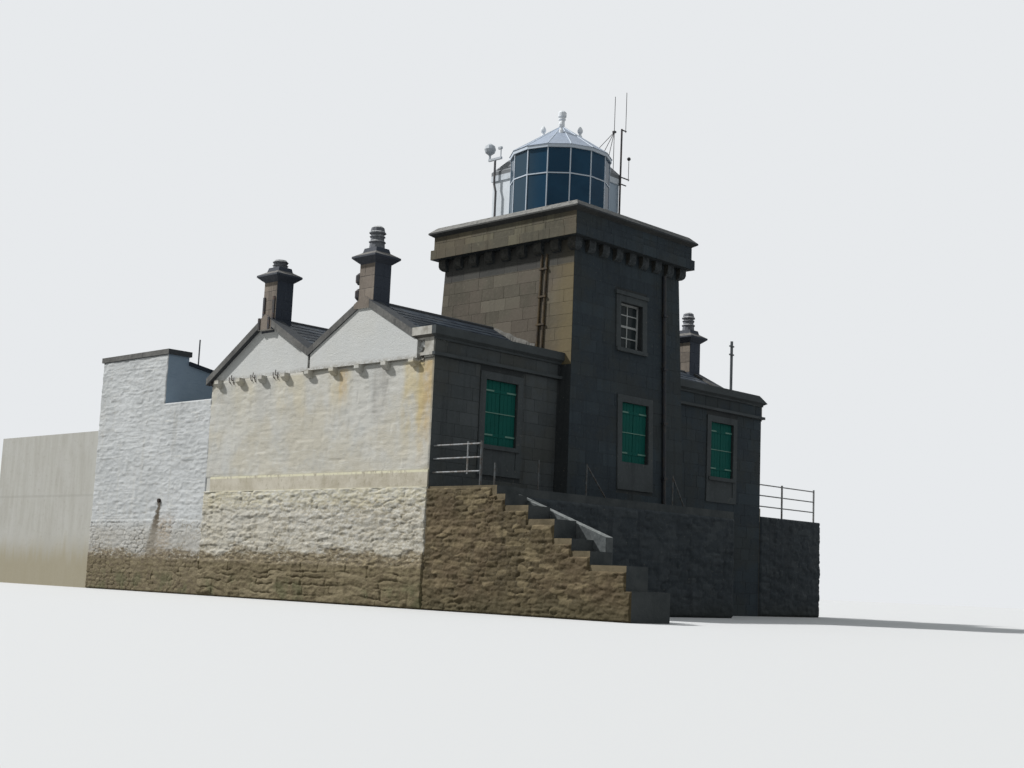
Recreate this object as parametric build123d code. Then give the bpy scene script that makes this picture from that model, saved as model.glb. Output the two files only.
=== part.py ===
from build123d import *
import math
import os

# A small square lighthouse in the middle of a keepers' dwelling, in millimetres.
# The house corner between the left gable and the front wall is at x 0, y 0 while the pieces are made.
# X runs along the front wall, Y runs back along the left gable, and Z 0 is the lowest footing.

# Dwelling
HOUSE_LENGTH = 14520
HOUSE_DEPTH = 9600
WALL = 500
FLOOR_TOP = 3100
FLOOR_THICKNESS = 200
ROOF_START = 550
FRONT_RIDGE = 2720
FRONT_RIDGE_TOP = 7990
FRONT_SLOPE = 0.54
VALLEY = 4970
REAR_RIDGE = 7030
REAR_RIDGE_TOP = 7930
REAR_EAVES = 6362
ROOF_THICKNESS = 120
EAVES_OVERHANG = 150

# Cornice, string course and plinth band
BED_BOTTOM = 6700
BED_DEPTH = 50
CORNICE_BOTTOM = 6810
CORNICE_TOP = 7020
CORNICE_DEPTH = 150
CORNICE_RETURN = 730
CORNICE_END_SLOPE = 470
STRING_BOTTOM = 6290
STRING_TOP = 6370
STRING_DEPTH = 100
STRING_RETURN = 450
BAND_BOTTOM = 2990
BAND_TOP = 3420
BAND_DEPTH = 50
BAND_LENGTH = 9300

# Verges, ledge and corbels on the gables
VERGE_RISE = 80
VERGE_WIDTH = 300
VERGE_OVERHANG = 40
LEDGE_LEVEL = 6250
FACING_DEPTH = 100
FACING_START = 560
FACING_END = 5300
SLOT_Y = 4940
SLOT_WIDTH = 100
SLOT_BOTTOM = 6310
SLOT_TOP = 6720
GABLE_CORBELS = 9
GABLE_CORBEL_START = 690
GABLE_CORBEL_END = 454
GABLE_CORBEL_HEIGHT = 210
GABLE_CORBEL_WIDTH = 190
GABLE_CORBEL_DEPTH = 190

# Chimneys
CHIMNEY_DEPTH = 565
CHIMNEY_WIDTH = 610
FRONT_CHIMNEY_SHIFT = 70
CHIMNEY_FOOT = 7500
CHIMNEY_TOP = 8990
CAP_OVERHANG = 175
CAP_NECK = 150
CAP_EDGE = 50
CAP_WEATHERING = 120
CAP_INSET = 30
CAP_STEP = 120
POT_RADIUS = 230
TALL_POT = 620
SHORT_POT = 250

# Tower
TOWER_X = 7180
TOWER_Y = 2300
TOWER_HALF_X = 2685
TOWER_HALF_Y = 2885
BATTER = 0.03
SHAFT_HEIGHT = 10270
ROOM_HALF_X = 1650
ROOM_HALF_Y = 1850
UPPER_FLOOR_TOP = 6700
CORBEL_HEIGHT = 350
CORBEL_REACH = 160
CORBEL_WIDTH = 290
CORBEL_COUNT = 9
FASCIA_REACH = 340
FASCIA_TOP = 10560
DIE_REACH = 270
DIE_TOP = 10960
PARAPET_THICKNESS = 400
COPING_REACH = 410
COPING_HEIGHT = 130
COPING_EDGE = 45
COPING_RISE = 180
COPING_FALL = 200
DECK_THICKNESS = 150

# Windows
SHUTTER_WINDOW_WIDTH = 1200
SHUTTER_WINDOW_BOTTOM = 4230
SHUTTER_WINDOW_HEIGHT = 1700
LEFT_WINDOW_X = 2430
RIGHT_WINDOW_INSET = 2170
TOWER_WINDOW_X = 7480
SASH_X = 7290
SASH_WIDTH = 1000
SASH_BOTTOM = 7480
SASH_HEIGHT = 1330
SASH_RECESS = 130
SASH_BAR = 60
SASH_GLASS = 10
SURROUND_WIDTH = 200
SURROUND_DEPTH = 40
APRON_BOTTOM = 3450
SILL_HEIGHT = 110
SHUTTER_THICKNESS = 50
SHUTTER_SETBACK = 60
SHUTTER_GAP = 10
LEDGER_HEIGHT = 90
LEDGER_DEPTH = 25

# Rear door, pipes and the pole on the right wing
DOOR_WIDTH = 1000
DOOR_HEIGHT = 2100
PIPE_X = 8780
PIPE_RADIUS = 60
PIPE_FOOT_GAP = 20
LEFT_PIPES = (710, 900)
THIN_PIPE_RADIUS = 35
POLE_INSET = 1720
POLE_Y = 0
POLE_TOP = 8600
POLE_RADIUS = 45
POLE_REACH = 110
POLE_ARMS = (0.1, 0.27)
YARD_POLE_X = 3000
YARD_POLE_Y = 15000
YARD_POLE_TOP = 8480
YARD_POLE_RADIUS = 25

# Lantern
LANTERN_X = 6930
LANTERN_Y = 2300
LANTERN_SIDES = 14
LANTERN_TURN = -139.7
LANTERN_RADIUS = 1513
BASE_THICKNESS = 150
SILL_LEVEL = 11500
TRANSOM_LEVEL = 12660
HEAD_BOTTOM = 13430
HEAD_TOP = 13530
BAR = 35
GLASS_THICKNESS = 20
LANTERN_EAVES = 1570
LANTERN_RISE = 1040
ROOF_SKIN = 30
VENT_RADIUS = 130
VENT_HEIGHT = 450
FINIAL_RING = 560
FINIAL_HEIGHT = 400
FINIAL_WIDTH = 170

# Stair hut on the deck
HUT_X0 = 6470
HUT_X1 = 9000
HUT_Y0 = 1700
HUT_Y1 = 4700
HUT_WALL = 120
HUT_EAVES = 13090
HUT_FASCIA = 300
HUT_ROOF_RISE = 560
HUT_ROOF_RUN = 470
HUT_ROOF_SKIN = 60
HUT_ROOF_LIP = 40

# Masts beside the lantern
CAMERA_MAST_X = 6330
CAMERA_FOOT_Y = 4430
CAMERA_HEAD_Y = 4510
CAMERA_BEND = (12710, 12980)
CAMERA_ARM_LEVEL = 13775
CAMERA_ARM_LENGTH = 550
CAMERA_GLOBE = 185
CAMERA_NECK = 185
SENSOR_HEIGHT = 325
MAST_RADIUS = 35
AERIAL_MAST_X = 8980
AERIAL_MAST_Y = 1630
AERIAL_MAST_TOP = 14890
AERIAL_ARM = 30
LONG_WHIP = (190, 10, 1250)
SHORT_WHIP = (390, 1530, 660)
LOW_BRACKET = (60, 280, 1750)
WHIP_RADIUS = 10
TRIPOD_INSET = 60
TRIPOD_Y = 1900
TRIPOD_HEAD = 14840
TRIPOD_WHIP = 1150
TRIPOD_FEET = (350, 930, 2000)

# Terrace, steps and apron
TERRACE_TOP = 3000
TERRACE_DEPTH = 2200
TERRACE_LENGTH = 9900
TERRACE_SLAB = 200
RETAINING_WALL = 450
FLIGHT_WIDTH = 750
STEP_EDGES = [(2360, 2790), (2640, 2520), (3390, 2200), (4210, 1770), (4740, 1500), (5290, 1200), (6320, 660)]
TREAD_THICKNESS = 120
FOOT_BLOCK_FRONT = 6480
FOOT_BLOCK_WIDTH = 1350
KERB_WIDTH = 250
APRON_HEAD = 2850
APRON_TOE = 1840
APRON_REACH = 5100

# Railings
RAIL_RADIUS = 20
POST_RADIUS = 32
RAIL_INSET = 120
SIDE_RAIL_LEVELS = (3355, 3690, 4020)
SIDE_RAIL_LENGTH = 1680
SIDE_RAIL_MIDDLE = 0.72
RIGHT_RAIL_LEVELS = (3520, 3870, 4220)
RIGHT_RAIL_LENGTH = 3570
RIGHT_RAIL_MIDDLE = 0.45
RAIL_END_GAP = 60
RIGHT_WALL_TOP = 3170
RIGHT_WALL_THICKNESS = 400
STANCHIONS = ((4210, 830), (7920, 560))
STANCHION_Y = -1500
STANCHION_TOP = 3890
STRUT_DROP = 40
STRUT_FOOT = 60
LONE_POSTS = ((120, -2150, 3540), (2350, -1500, 3820))

# Yard
YARD_LOW_TOP = 5760
YARD_HIGH_START = 12080
YARD_HIGH_END = 15900
YARD_HIGH_TOP = 7310
YARD_COPING = 160
YARD_COPING_LIP = 60
YARD_RETURN = 740
YARD_WALL = 450
OUTBUILDING_REACH = 4200
OUTBUILDING_EAVES = 6450
OUTBUILDING_RISE = 650
OUTBUILDING_WALL = 350
BOUNDARY_END = 22600
BOUNDARY_TOP = 5090
BOUNDARY_THICKNESS = 400
BOUNDARY_SETBACK = 60

# Levels and places that follow from these
REAR_SLOPE = (REAR_RIDGE_TOP - REAR_EAVES) / (HOUSE_DEPTH - REAR_RIDGE)
GABLE_CORBEL_PITCH = (HOUSE_DEPTH - GABLE_CORBEL_START - GABLE_CORBEL_END) / (GABLE_CORBELS - 1)
RIGHT_WINDOW_X = HOUSE_LENGTH - RIGHT_WINDOW_INSET
POLE_X = HOUSE_LENGTH - POLE_INSET
DECK_TOP = SHAFT_HEIGHT + DECK_THICKNESS
LANTERN_APEX = HEAD_TOP + LANTERN_RISE
COPING_TOP = DIE_TOP + COPING_HEIGHT
POT_FOOT = CHIMNEY_TOP + CAP_NECK + CAP_EDGE + CAP_WEATHERING + CAP_STEP


def block(x0, x1, y0, y1, z0, z1):
    return Pos((x0 + x1) / 2, (y0 + y1) / 2, (z0 + z1) / 2) * Box(x1 - x0, y1 - y0, z1 - z0)


def outline(points):
    return make_face(Polyline(*points, close=True))


def along_x(points, x0, x1):
    """A prism whose (y, z) outline runs from x0 to x1."""
    return extrude(Plane.YZ.offset(x0) * outline(points), x1 - x0)


def along_y(points, y0, y1):
    """A prism whose (x, z) outline runs from y0 to y1."""
    return extrude(Plane.XZ.offset(-y1) * outline(points), y1 - y0)


def rod(start, end, radius, sides=8):
    """A bar between two points, with enough flats round it to read as round at its size."""
    direction = Vector(*end) - Vector(*start)
    return extrude(Plane(start, z_dir=direction) * RegularPolygon(radius, sides), direction.length)


def turned(rings, sides=12):
    """A flat-sided turned piece on the z axis, from its (radius, height) rings."""
    turns = [2 * math.pi * i / sides for i in range(sides)]
    loops = [[(r * math.cos(a), r * math.sin(a), z) for a in turns] for r, z in rings]
    faces = [outline(loops[0]), outline(loops[-1])]
    for lower, upper in zip(loops, loops[1:]):
        for i in range(sides):
            k = (i + 1) % sides
            faces.append(outline([lower[i], lower[k], upper[k], upper[i]]))
    return Solid(Shell(faces))


def ball(radius, centre, sides=8):
    """A ball as a turned piece."""
    steps = [math.radians(a) for a in (-70, -35, 0, 35, 70)]
    return turned([(radius * math.cos(a), centre + radius * math.sin(a)) for a in steps], sides)


def moulded(x0, x1, y0, y1, levels):
    """A rectangular piece whose sides follow a moulding, from its (growth, height) levels."""
    def across(low, high):
        return [(low - grow, z) for grow, z in levels] + [(high + grow, z) for grow, z in reversed(levels)]
    room = 2 * max(abs(grow) for grow, z in levels)
    return along_y(across(x0, x1), y0 - room, y1 + room) & along_x(across(y0, y1), x0 - room, x1 + room)


def union(pieces):
    """All the pieces fused, or kept side by side where they don't touch."""
    pieces = list(pieces)
    return pieces[0] if len(pieces) == 1 else pieces[0].fuse(*pieces[1:])


def loose(pieces):
    """Separate solids kept together in one node."""
    return Compound([solid for piece in pieces for solid in piece.solids()])


# Tower shell

def tower_half(z, proud=0):
    """Half the tower's width and depth at a level, or of a face standing proud of it."""
    return TOWER_HALF_X + proud - BATTER * z, TOWER_HALF_Y + proud - BATTER * z


def tower_envelope(height, proud=0):
    """The battered outside of the tower as one solid."""
    foot_x, foot_y = tower_half(0, proud)
    top_x, top_y = tower_half(height, proud)
    side = [(TOWER_Y - foot_y, 0), (TOWER_Y + foot_y, 0), (TOWER_Y + top_y, height),
            (TOWER_Y - top_y, height)]
    front = [(TOWER_X - foot_x, 0), (TOWER_X + foot_x, 0), (TOWER_X + top_x, height),
             (TOWER_X - top_x, height)]
    reach = 2 * (TOWER_HALF_X + TOWER_HALF_Y)
    return along_x(side, TOWER_X - reach, TOWER_X + reach) & along_y(front, TOWER_Y - reach, TOWER_Y + reach)


def tower_front(z):
    return TOWER_Y - tower_half(z)[1]


TOWER = tower_envelope(SHAFT_HEIGHT)
TOP_HALF_X, TOP_HALF_Y = tower_half(SHAFT_HEIGHT)


def tower_ring(reach_outside, inner_reach, z0, z1):
    """A square ring round the tower top, with its faces at two distances from the shaft's top edge."""
    outer_x = TOP_HALF_X + reach_outside
    outer_y = TOP_HALF_Y + reach_outside
    inner_x = TOP_HALF_X + inner_reach
    inner_y = TOP_HALF_Y + inner_reach
    solid = block(TOWER_X - outer_x, TOWER_X + outer_x, TOWER_Y - outer_y, TOWER_Y + outer_y, z0, z1)
    return solid - block(TOWER_X - inner_x, TOWER_X + inner_x, TOWER_Y - inner_y, TOWER_Y + inner_y, z0, z1)


def window_hole(centre, width, bottom, height, y0, y1):
    return block(centre - width / 2, centre + width / 2, y0, y1, bottom, bottom + height)


def shutter_hole(centre, y0, y1):
    return window_hole(centre, SHUTTER_WINDOW_WIDTH, SHUTTER_WINDOW_BOTTOM, SHUTTER_WINDOW_HEIGHT, y0, y1)


def tower_walls():
    front_y = TOWER_Y - ROOM_HALF_Y
    rear_y = TOWER_Y + ROOM_HALF_Y
    left_x = TOWER_X - ROOM_HALF_X
    right_x = TOWER_X + ROOM_HALF_X
    far = 4 * TOWER_HALF_X
    front = TOWER & block(TOWER_X - far, TOWER_X + far, TOWER_Y - far, front_y, 0, SHAFT_HEIGHT)
    front -= shutter_hole(TOWER_WINDOW_X, TOWER_Y - far, front_y)
    front -= window_hole(SASH_X, SASH_WIDTH, SASH_BOTTOM, SASH_HEIGHT, TOWER_Y - far, front_y)
    rear = TOWER & block(TOWER_X - far, TOWER_X + far, rear_y, TOWER_Y + far, 0, SHAFT_HEIGHT)
    left = TOWER & block(TOWER_X - far, left_x, front_y, rear_y, 0, SHAFT_HEIGHT)
    right = TOWER & block(right_x, TOWER_X + far, front_y, rear_y, 0, SHAFT_HEIGHT)
    return {"tower_wall_front": front, "tower_wall_rear": rear, "tower_wall_left": left,
            "tower_wall_right": right}


def tower_floors():
    """A slab at the foot and one at each storey."""
    x0, x1 = TOWER_X - ROOM_HALF_X, TOWER_X + ROOM_HALF_X
    y0, y1 = TOWER_Y - ROOM_HALF_Y, TOWER_Y + ROOM_HALF_Y
    return loose(block(x0, x1, y0, y1, top - FLOOR_THICKNESS, top) for top in (FLOOR_THICKNESS, FLOOR_TOP,
                                                                               UPPER_FLOOR_TOP))


def tower_corbels():
    """A quarter-round course under the parapet, cut into single corbels, with one at each corner."""
    half_x, half_y = TOP_HALF_X + CORBEL_REACH, TOP_HALF_Y + CORBEL_REACH
    bottom = SHAFT_HEIGHT - CORBEL_HEIGHT
    start = -CORBEL_REACH
    turns = [math.radians(a) for a in (0, 30, 60, 90)]
    levels = [(start * (1 - math.sin(a)), bottom - start * (1 - math.cos(a))) for a in turns]
    levels.append((0, SHAFT_HEIGHT))
    course = moulded(TOWER_X - half_x, TOWER_X + half_x, TOWER_Y - half_y, TOWER_Y + half_y, levels) - TOWER
    gaps = []
    for half, centre, turn in ((half_x, TOWER_X, False), (half_y, TOWER_Y, True)):
        pitch = (2 * half - CORBEL_WIDTH) / (CORBEL_COUNT - 1)
        for i in range(CORBEL_COUNT - 1):
            low = centre - half + CORBEL_WIDTH + i * pitch
            high = low + pitch - CORBEL_WIDTH
            if turn:
                gaps.append(block(TOWER_X - 2 * half, TOWER_X + 2 * half, low, high, bottom, SHAFT_HEIGHT))
            else:
                gaps.append(block(low, high, TOWER_Y - 2 * half, TOWER_Y + 2 * half, bottom, SHAFT_HEIGHT))
    return course - gaps


def tower_top():
    inner = DIE_REACH - PARAPET_THICKNESS
    fascia = tower_ring(FASCIA_REACH, inner, SHAFT_HEIGHT, FASCIA_TOP)
    die = tower_ring(DIE_REACH, inner, FASCIA_TOP, DIE_TOP)
    lip = COPING_TOP - COPING_EDGE
    levels = [(DIE_REACH, DIE_TOP), (COPING_REACH, lip), (COPING_REACH, COPING_TOP),
              (COPING_REACH - COPING_FALL, COPING_TOP + COPING_RISE)]
    coping = moulded(TOWER_X - TOP_HALF_X, TOWER_X + TOP_HALF_X, TOWER_Y - TOP_HALF_Y, TOWER_Y + TOP_HALF_Y,
                     levels)
    coping &= tower_ring(COPING_REACH, inner - VERGE_OVERHANG, DIE_TOP, COPING_TOP + COPING_RISE)
    half_x, half_y = TOP_HALF_X + inner, TOP_HALF_Y + inner
    deck = block(TOWER_X - half_x, TOWER_X + half_x, TOWER_Y - half_y, TOWER_Y + half_y,
                 SHAFT_HEIGHT, SHAFT_HEIGHT + DECK_THICKNESS)
    return {"tower_parapet": fascia + die, "tower_coping": coping, "tower_deck": deck}


# Lantern

def lantern_polygon(radius):
    """The lantern's plan, turned so that a pane faces the sea."""
    half_side = 180 / LANTERN_SIDES
    corners = []
    for i in range(LANTERN_SIDES):
        angle = math.radians(LANTERN_TURN + half_side + 2 * half_side * i)
        corners.append((LANTERN_X + radius * math.cos(angle), LANTERN_Y + radius * math.sin(angle)))
    return corners


def lantern_prism(radius, z0, z1):
    return extrude(Plane.XY.offset(z0) * outline(lantern_polygon(radius)), z1 - z0)


def lantern_shell(radius, thickness, z0, z1):
    return lantern_prism(radius, z0, z1) - lantern_prism(radius - thickness, z0, z1)


def lantern_pyramid(radius, z0, apex):
    """A pyramid over the lantern's plan, from its eaves level up to the apex."""
    corners = lantern_polygon(radius)
    tip = Vertex(LANTERN_X, LANTERN_Y, apex)
    base = outline([(x, y) for x, y in corners])
    return loft([Plane.XY.offset(z0) * base, tip], ruled=True)


def lantern_frame():
    """Upright bars at the corners of the lantern between a sill ring, a transom ring and a head ring."""
    depth = 2 * BAR
    rings = [lantern_shell(LANTERN_RADIUS, depth, SILL_LEVEL, SILL_LEVEL + BAR),
             lantern_shell(LANTERN_RADIUS, depth, TRANSOM_LEVEL - BAR / 2, TRANSOM_LEVEL + BAR / 2),
             lantern_shell(LANTERN_RADIUS + BAR, depth + BAR, HEAD_BOTTOM, HEAD_TOP)]
    wall = lantern_shell(LANTERN_RADIUS, depth, SILL_LEVEL, HEAD_BOTTOM)
    posts = []
    for i in range(LANTERN_SIDES):
        angle = LANTERN_TURN + (i + 0.5) * 360 / LANTERN_SIDES
        post = Pos(LANTERN_X, LANTERN_Y, 0) * Rot(0, 0, angle) * block(0, 2 * LANTERN_RADIUS, -BAR / 2,
                                                                       BAR / 2, SILL_LEVEL, HEAD_BOTTOM)
        posts.append(wall & post)
    return union(rings + posts)


def lantern_glass(frame):
    """One sheet of glass round the lantern, seated in the frame."""
    sheet = lantern_shell(LANTERN_RADIUS - BAR / 2, GLASS_THICKNESS, SILL_LEVEL + BAR, HEAD_BOTTOM)
    return sheet - frame


def lantern_roof():
    outer = lantern_pyramid(LANTERN_EAVES, HEAD_TOP, LANTERN_APEX)
    inner = lantern_pyramid(LANTERN_EAVES - 2 * ROOF_SKIN, HEAD_TOP, LANTERN_APEX - 2 * ROOF_SKIN)
    return outer - inner - vent()


def vent():
    """A round cowl on the apex: a neck, a ring, and a deep cap with a rounded top."""
    r = VENT_RADIUS
    shape = [(0.7, -0.25), (0.62, 0.2), (0.62, 0.36), (0.85, 0.4), (0.85, 0.5), (0.7, 0.52), (0.7, 0.58),
             (1, 0.62), (1, 0.9), (0.7, 1)]
    rings = [(r * wide, LANTERN_APEX + VENT_HEIGHT * high) for wide, high in shape]
    return Pos(LANTERN_X, LANTERN_Y, 0) * turned(rings)


def finials():
    """Small turned finials standing on the lantern roof, on four sides of the vent."""
    foot = LANTERN_APEX - LANTERN_RISE * (FINIAL_RING + FINIAL_WIDTH / 2) / LANTERN_EAVES
    shape = [(0.8, 0), (0.8, 0.26), (0.5, 0.36), (0.5, 0.46), (0.9, 0.56), (1, 0.7), (0.75, 0.86), (0.3, 1)]
    under = lantern_pyramid(LANTERN_EAVES, HEAD_TOP, LANTERN_APEX)
    spindle = turned([(FINIAL_WIDTH / 2 * wide, foot + FINIAL_HEIGHT * high) for wide, high in shape], 8)
    pieces = []
    for i in range(4):
        angle = math.radians(LANTERN_TURN + 90 * i)
        x, y = LANTERN_X + FINIAL_RING * math.cos(angle), LANTERN_Y + FINIAL_RING * math.sin(angle)
        pieces.append(Pos(x, y, 0) * spindle - under)
    return loose(pieces)


def stair_hut():
    """The white hut behind the lantern. It opens into the lantern, whose round wall closes that corner."""
    clear = lantern_prism(LANTERN_RADIUS + BAR, 0, HEAD_TOP) + lantern_pyramid(LANTERN_EAVES, HEAD_TOP,
                                                                               LANTERN_APEX)
    outside = block(HUT_X0, HUT_X1, HUT_Y0, HUT_Y1, DECK_TOP, HUT_EAVES)
    inside = block(HUT_X0 + HUT_WALL, HUT_X1 - HUT_WALL, HUT_Y0 + HUT_WALL, HUT_Y1 - HUT_WALL, DECK_TOP,
                   HUT_EAVES)
    walls = outside - inside - clear
    roof = hut_roof(0) - hut_roof(HUT_ROOF_SKIN) - clear
    return {"stair_hut_walls": walls, "stair_hut_roof": roof}


def hut_roof(drop):
    """The hut's roof, or its inside by a drop: a deep fascia, four steep slopes and a flat top."""
    lip = HUT_ROOF_LIP - drop
    foot = HUT_EAVES - drop
    top = HUT_EAVES + HUT_FASCIA + HUT_ROOF_RISE - drop
    levels = [(lip, foot), (lip, HUT_EAVES + HUT_FASCIA - drop), (lip - HUT_ROOF_RUN, top)]
    return moulded(HUT_X0, HUT_X1, HUT_Y0, HUT_Y1, levels)


def lantern_base():
    """The round wall under the glazing, standing on the deck and open to the hut behind."""
    wall = lantern_shell(LANTERN_RADIUS, BASE_THICKNESS, DECK_TOP, SILL_LEVEL)
    inside = block(HUT_X0 + HUT_WALL, HUT_X1 - HUT_WALL, HUT_Y0 + HUT_WALL, HUT_Y1 - HUT_WALL, DECK_TOP,
                   SILL_LEVEL)
    return wall - inside


def camera_mast():
    """A bent pole with a cross-arm, a round camera housing at one end and a small sensor at the other."""
    x, y, z = CAMERA_MAST_X, CAMERA_HEAD_Y, CAMERA_ARM_LEVEL
    low, high = CAMERA_BEND
    half = CAMERA_ARM_LENGTH / 2
    r = MAST_RADIUS
    lower = rod((x, CAMERA_FOOT_Y, DECK_TOP), (x, CAMERA_FOOT_Y, low + r), r)
    bend = rod((x, CAMERA_FOOT_Y, low), (x, y, high), r)
    upper = rod((x, y, high - r), (x, y, z), r)
    arm = block(x - r, x + r, y - half, y + half, z - r, z + r)
    globe_y = y + half - r
    neck = rod((x, globe_y, z), (x, globe_y, z + CAMERA_NECK), r)
    globe = Pos(x, globe_y, 0) * ball(CAMERA_GLOBE, z + CAMERA_NECK + 0.9 * CAMERA_GLOBE, 12)
    sensor_y = y - half + r
    sensor = rod((x, sensor_y, z), (x, sensor_y, z + SENSOR_HEIGHT), r / 2)
    hood = block(x - r, x + r, sensor_y - r, sensor_y + 3 * r, z + SENSOR_HEIGHT - r, z + SENSOR_HEIGHT + r)
    return union([lower, bend, upper, arm, neck, globe, sensor, hood])


def aerial_mast():
    """A pole in front of the hut with two whips on side arms, and a third whip on a tripod on the roof."""
    x, y, r = AERIAL_MAST_X, AERIAL_MAST_Y, AERIAL_ARM
    pieces = [rod((x, y, DECK_TOP), (x, y, AERIAL_MAST_TOP), r)]
    for reach, drop, length in (LONG_WHIP, SHORT_WHIP):
        level = AERIAL_MAST_TOP - drop
        pieces.append(block(x, x + reach + r, y - r / 2, y + r / 2, level - r, level))
        pieces.append(rod((x + reach, y, level - 2 * r), (x + reach, y, level + length), WHIP_RADIUS))
    reach, drop, length = SHORT_WHIP
    pieces.append(Pos(x + reach, y, 0) * ball(2 * r, AERIAL_MAST_TOP - drop + length))
    left, right, drop = LOW_BRACKET
    level = AERIAL_MAST_TOP - drop
    pieces.append(block(x - left, x + right, y - r / 2, y + r / 2, level - r, level))
    mast = union(pieces)
    x, y = HUT_X1 - TRIPOD_INSET, TRIPOD_Y
    slope = HUT_ROOF_RISE / HUT_ROOF_RUN
    foot = HUT_EAVES + HUT_FASCIA + slope * (TRIPOD_INSET + HUT_ROOF_LIP) - 2 * WHIP_RADIUS
    tripod = [rod((x, y, foot), (x, y, TRIPOD_HEAD + TRIPOD_WHIP), WHIP_RADIUS),
              Pos(x, y, TRIPOD_HEAD) * Box(3 * r, 3 * r, 2 * r)]
    for reach in TRIPOD_FEET:
        tripod.append(rod((x, y + reach, foot), (x, y, TRIPOD_HEAD), WHIP_RADIUS))
    return loose([mast, union(tripod)])


# Dwelling

def roof_line(drop=0):
    """The top line of the two front and rear slopes over a gable, as (y, z) points, lowered by a drop."""
    valley_level = FRONT_RIDGE_TOP - FRONT_SLOPE * (VALLEY - FRONT_RIDGE)
    return [(ROOF_START, FRONT_RIDGE_TOP - FRONT_SLOPE * (FRONT_RIDGE - ROOF_START) - drop),
            (FRONT_RIDGE, FRONT_RIDGE_TOP - drop),
            (VALLEY, valley_level - drop),
            (REAR_RIDGE, REAR_RIDGE_TOP - drop),
            (HOUSE_DEPTH, REAR_RIDGE_TOP - REAR_SLOPE * (HOUSE_DEPTH - REAR_RIDGE) - drop)]


def roof_slab(points, x0, x1, thickness, base_drop=0):
    upper = [(y, z - base_drop) for y, z in points]
    lower = [(y, z - thickness) for y, z in reversed(upper)]
    return along_x(upper + lower, x0, x1)


UNDER_ROOF = roof_line(ROOF_THICKNESS)
GABLE_OUTLINE = [(0, 0), (0, BED_BOTTOM)] + UNDER_ROOF + [(HOUSE_DEPTH, 0)]
OUTER_EAVES = (HOUSE_DEPTH + EAVES_OVERHANG, roof_line()[-1][1] - REAR_SLOPE * EAVES_OVERHANG)


def chimney_spots():
    """The corner of each chimney nearest the origin, with the height of its pot."""
    spots = []
    for x in (0, HOUSE_LENGTH - CHIMNEY_DEPTH):
        spots.append((x, FRONT_RIDGE - CHIMNEY_WIDTH / 2 + FRONT_CHIMNEY_SHIFT, TALL_POT))
        spots.append((x, REAR_RIDGE - CHIMNEY_WIDTH / 2, SHORT_POT))
    return spots


def chimney_shafts():
    return [block(x, x + CHIMNEY_DEPTH, y, y + CHIMNEY_WIDTH, CHIMNEY_FOOT, CHIMNEY_TOP)
            for x, y, pot in chimney_spots()]


def chimney_cap(x, y):
    """A flared neck up to a thin edge, a weathering, and a low block under the pot."""
    edge = CHIMNEY_TOP + CAP_NECK
    block_foot = edge + CAP_EDGE + CAP_WEATHERING
    levels = [(0, CHIMNEY_TOP), (CAP_OVERHANG, edge), (CAP_OVERHANG, edge + CAP_EDGE),
              (-CAP_INSET, block_foot),
              (-2 * CAP_INSET, block_foot + CAP_STEP)]
    return moulded(x, x + CHIMNEY_DEPTH, y, y + CHIMNEY_WIDTH, levels)


def chimney_pot(x, y, height):
    """A stout round pot with three ledges and a rounded crown."""
    r = POT_RADIUS
    shape = [(0.92, 0), (0.88, 0.24), (1, 0.27), (1, 0.31), (0.8, 0.35), (0.8, 0.48), (0.92, 0.51),
             (0.92, 0.55), (0.76, 0.58), (0.76, 0.64), (1, 0.67), (1, 0.72), (0.86, 0.76), (0.76, 0.93),
             (0.5, 1)]
    flue = turned([(r * 0.4, POT_FOOT + 0.7 * height), (r * 0.4, POT_FOOT + 2 * height)], 8)
    pot = turned([(r * wide, POT_FOOT + height * high) for wide, high in shape], 10)
    return Pos(x + CHIMNEY_DEPTH / 2, y + CHIMNEY_WIDTH / 2, 0) * (pot - flue)


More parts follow.
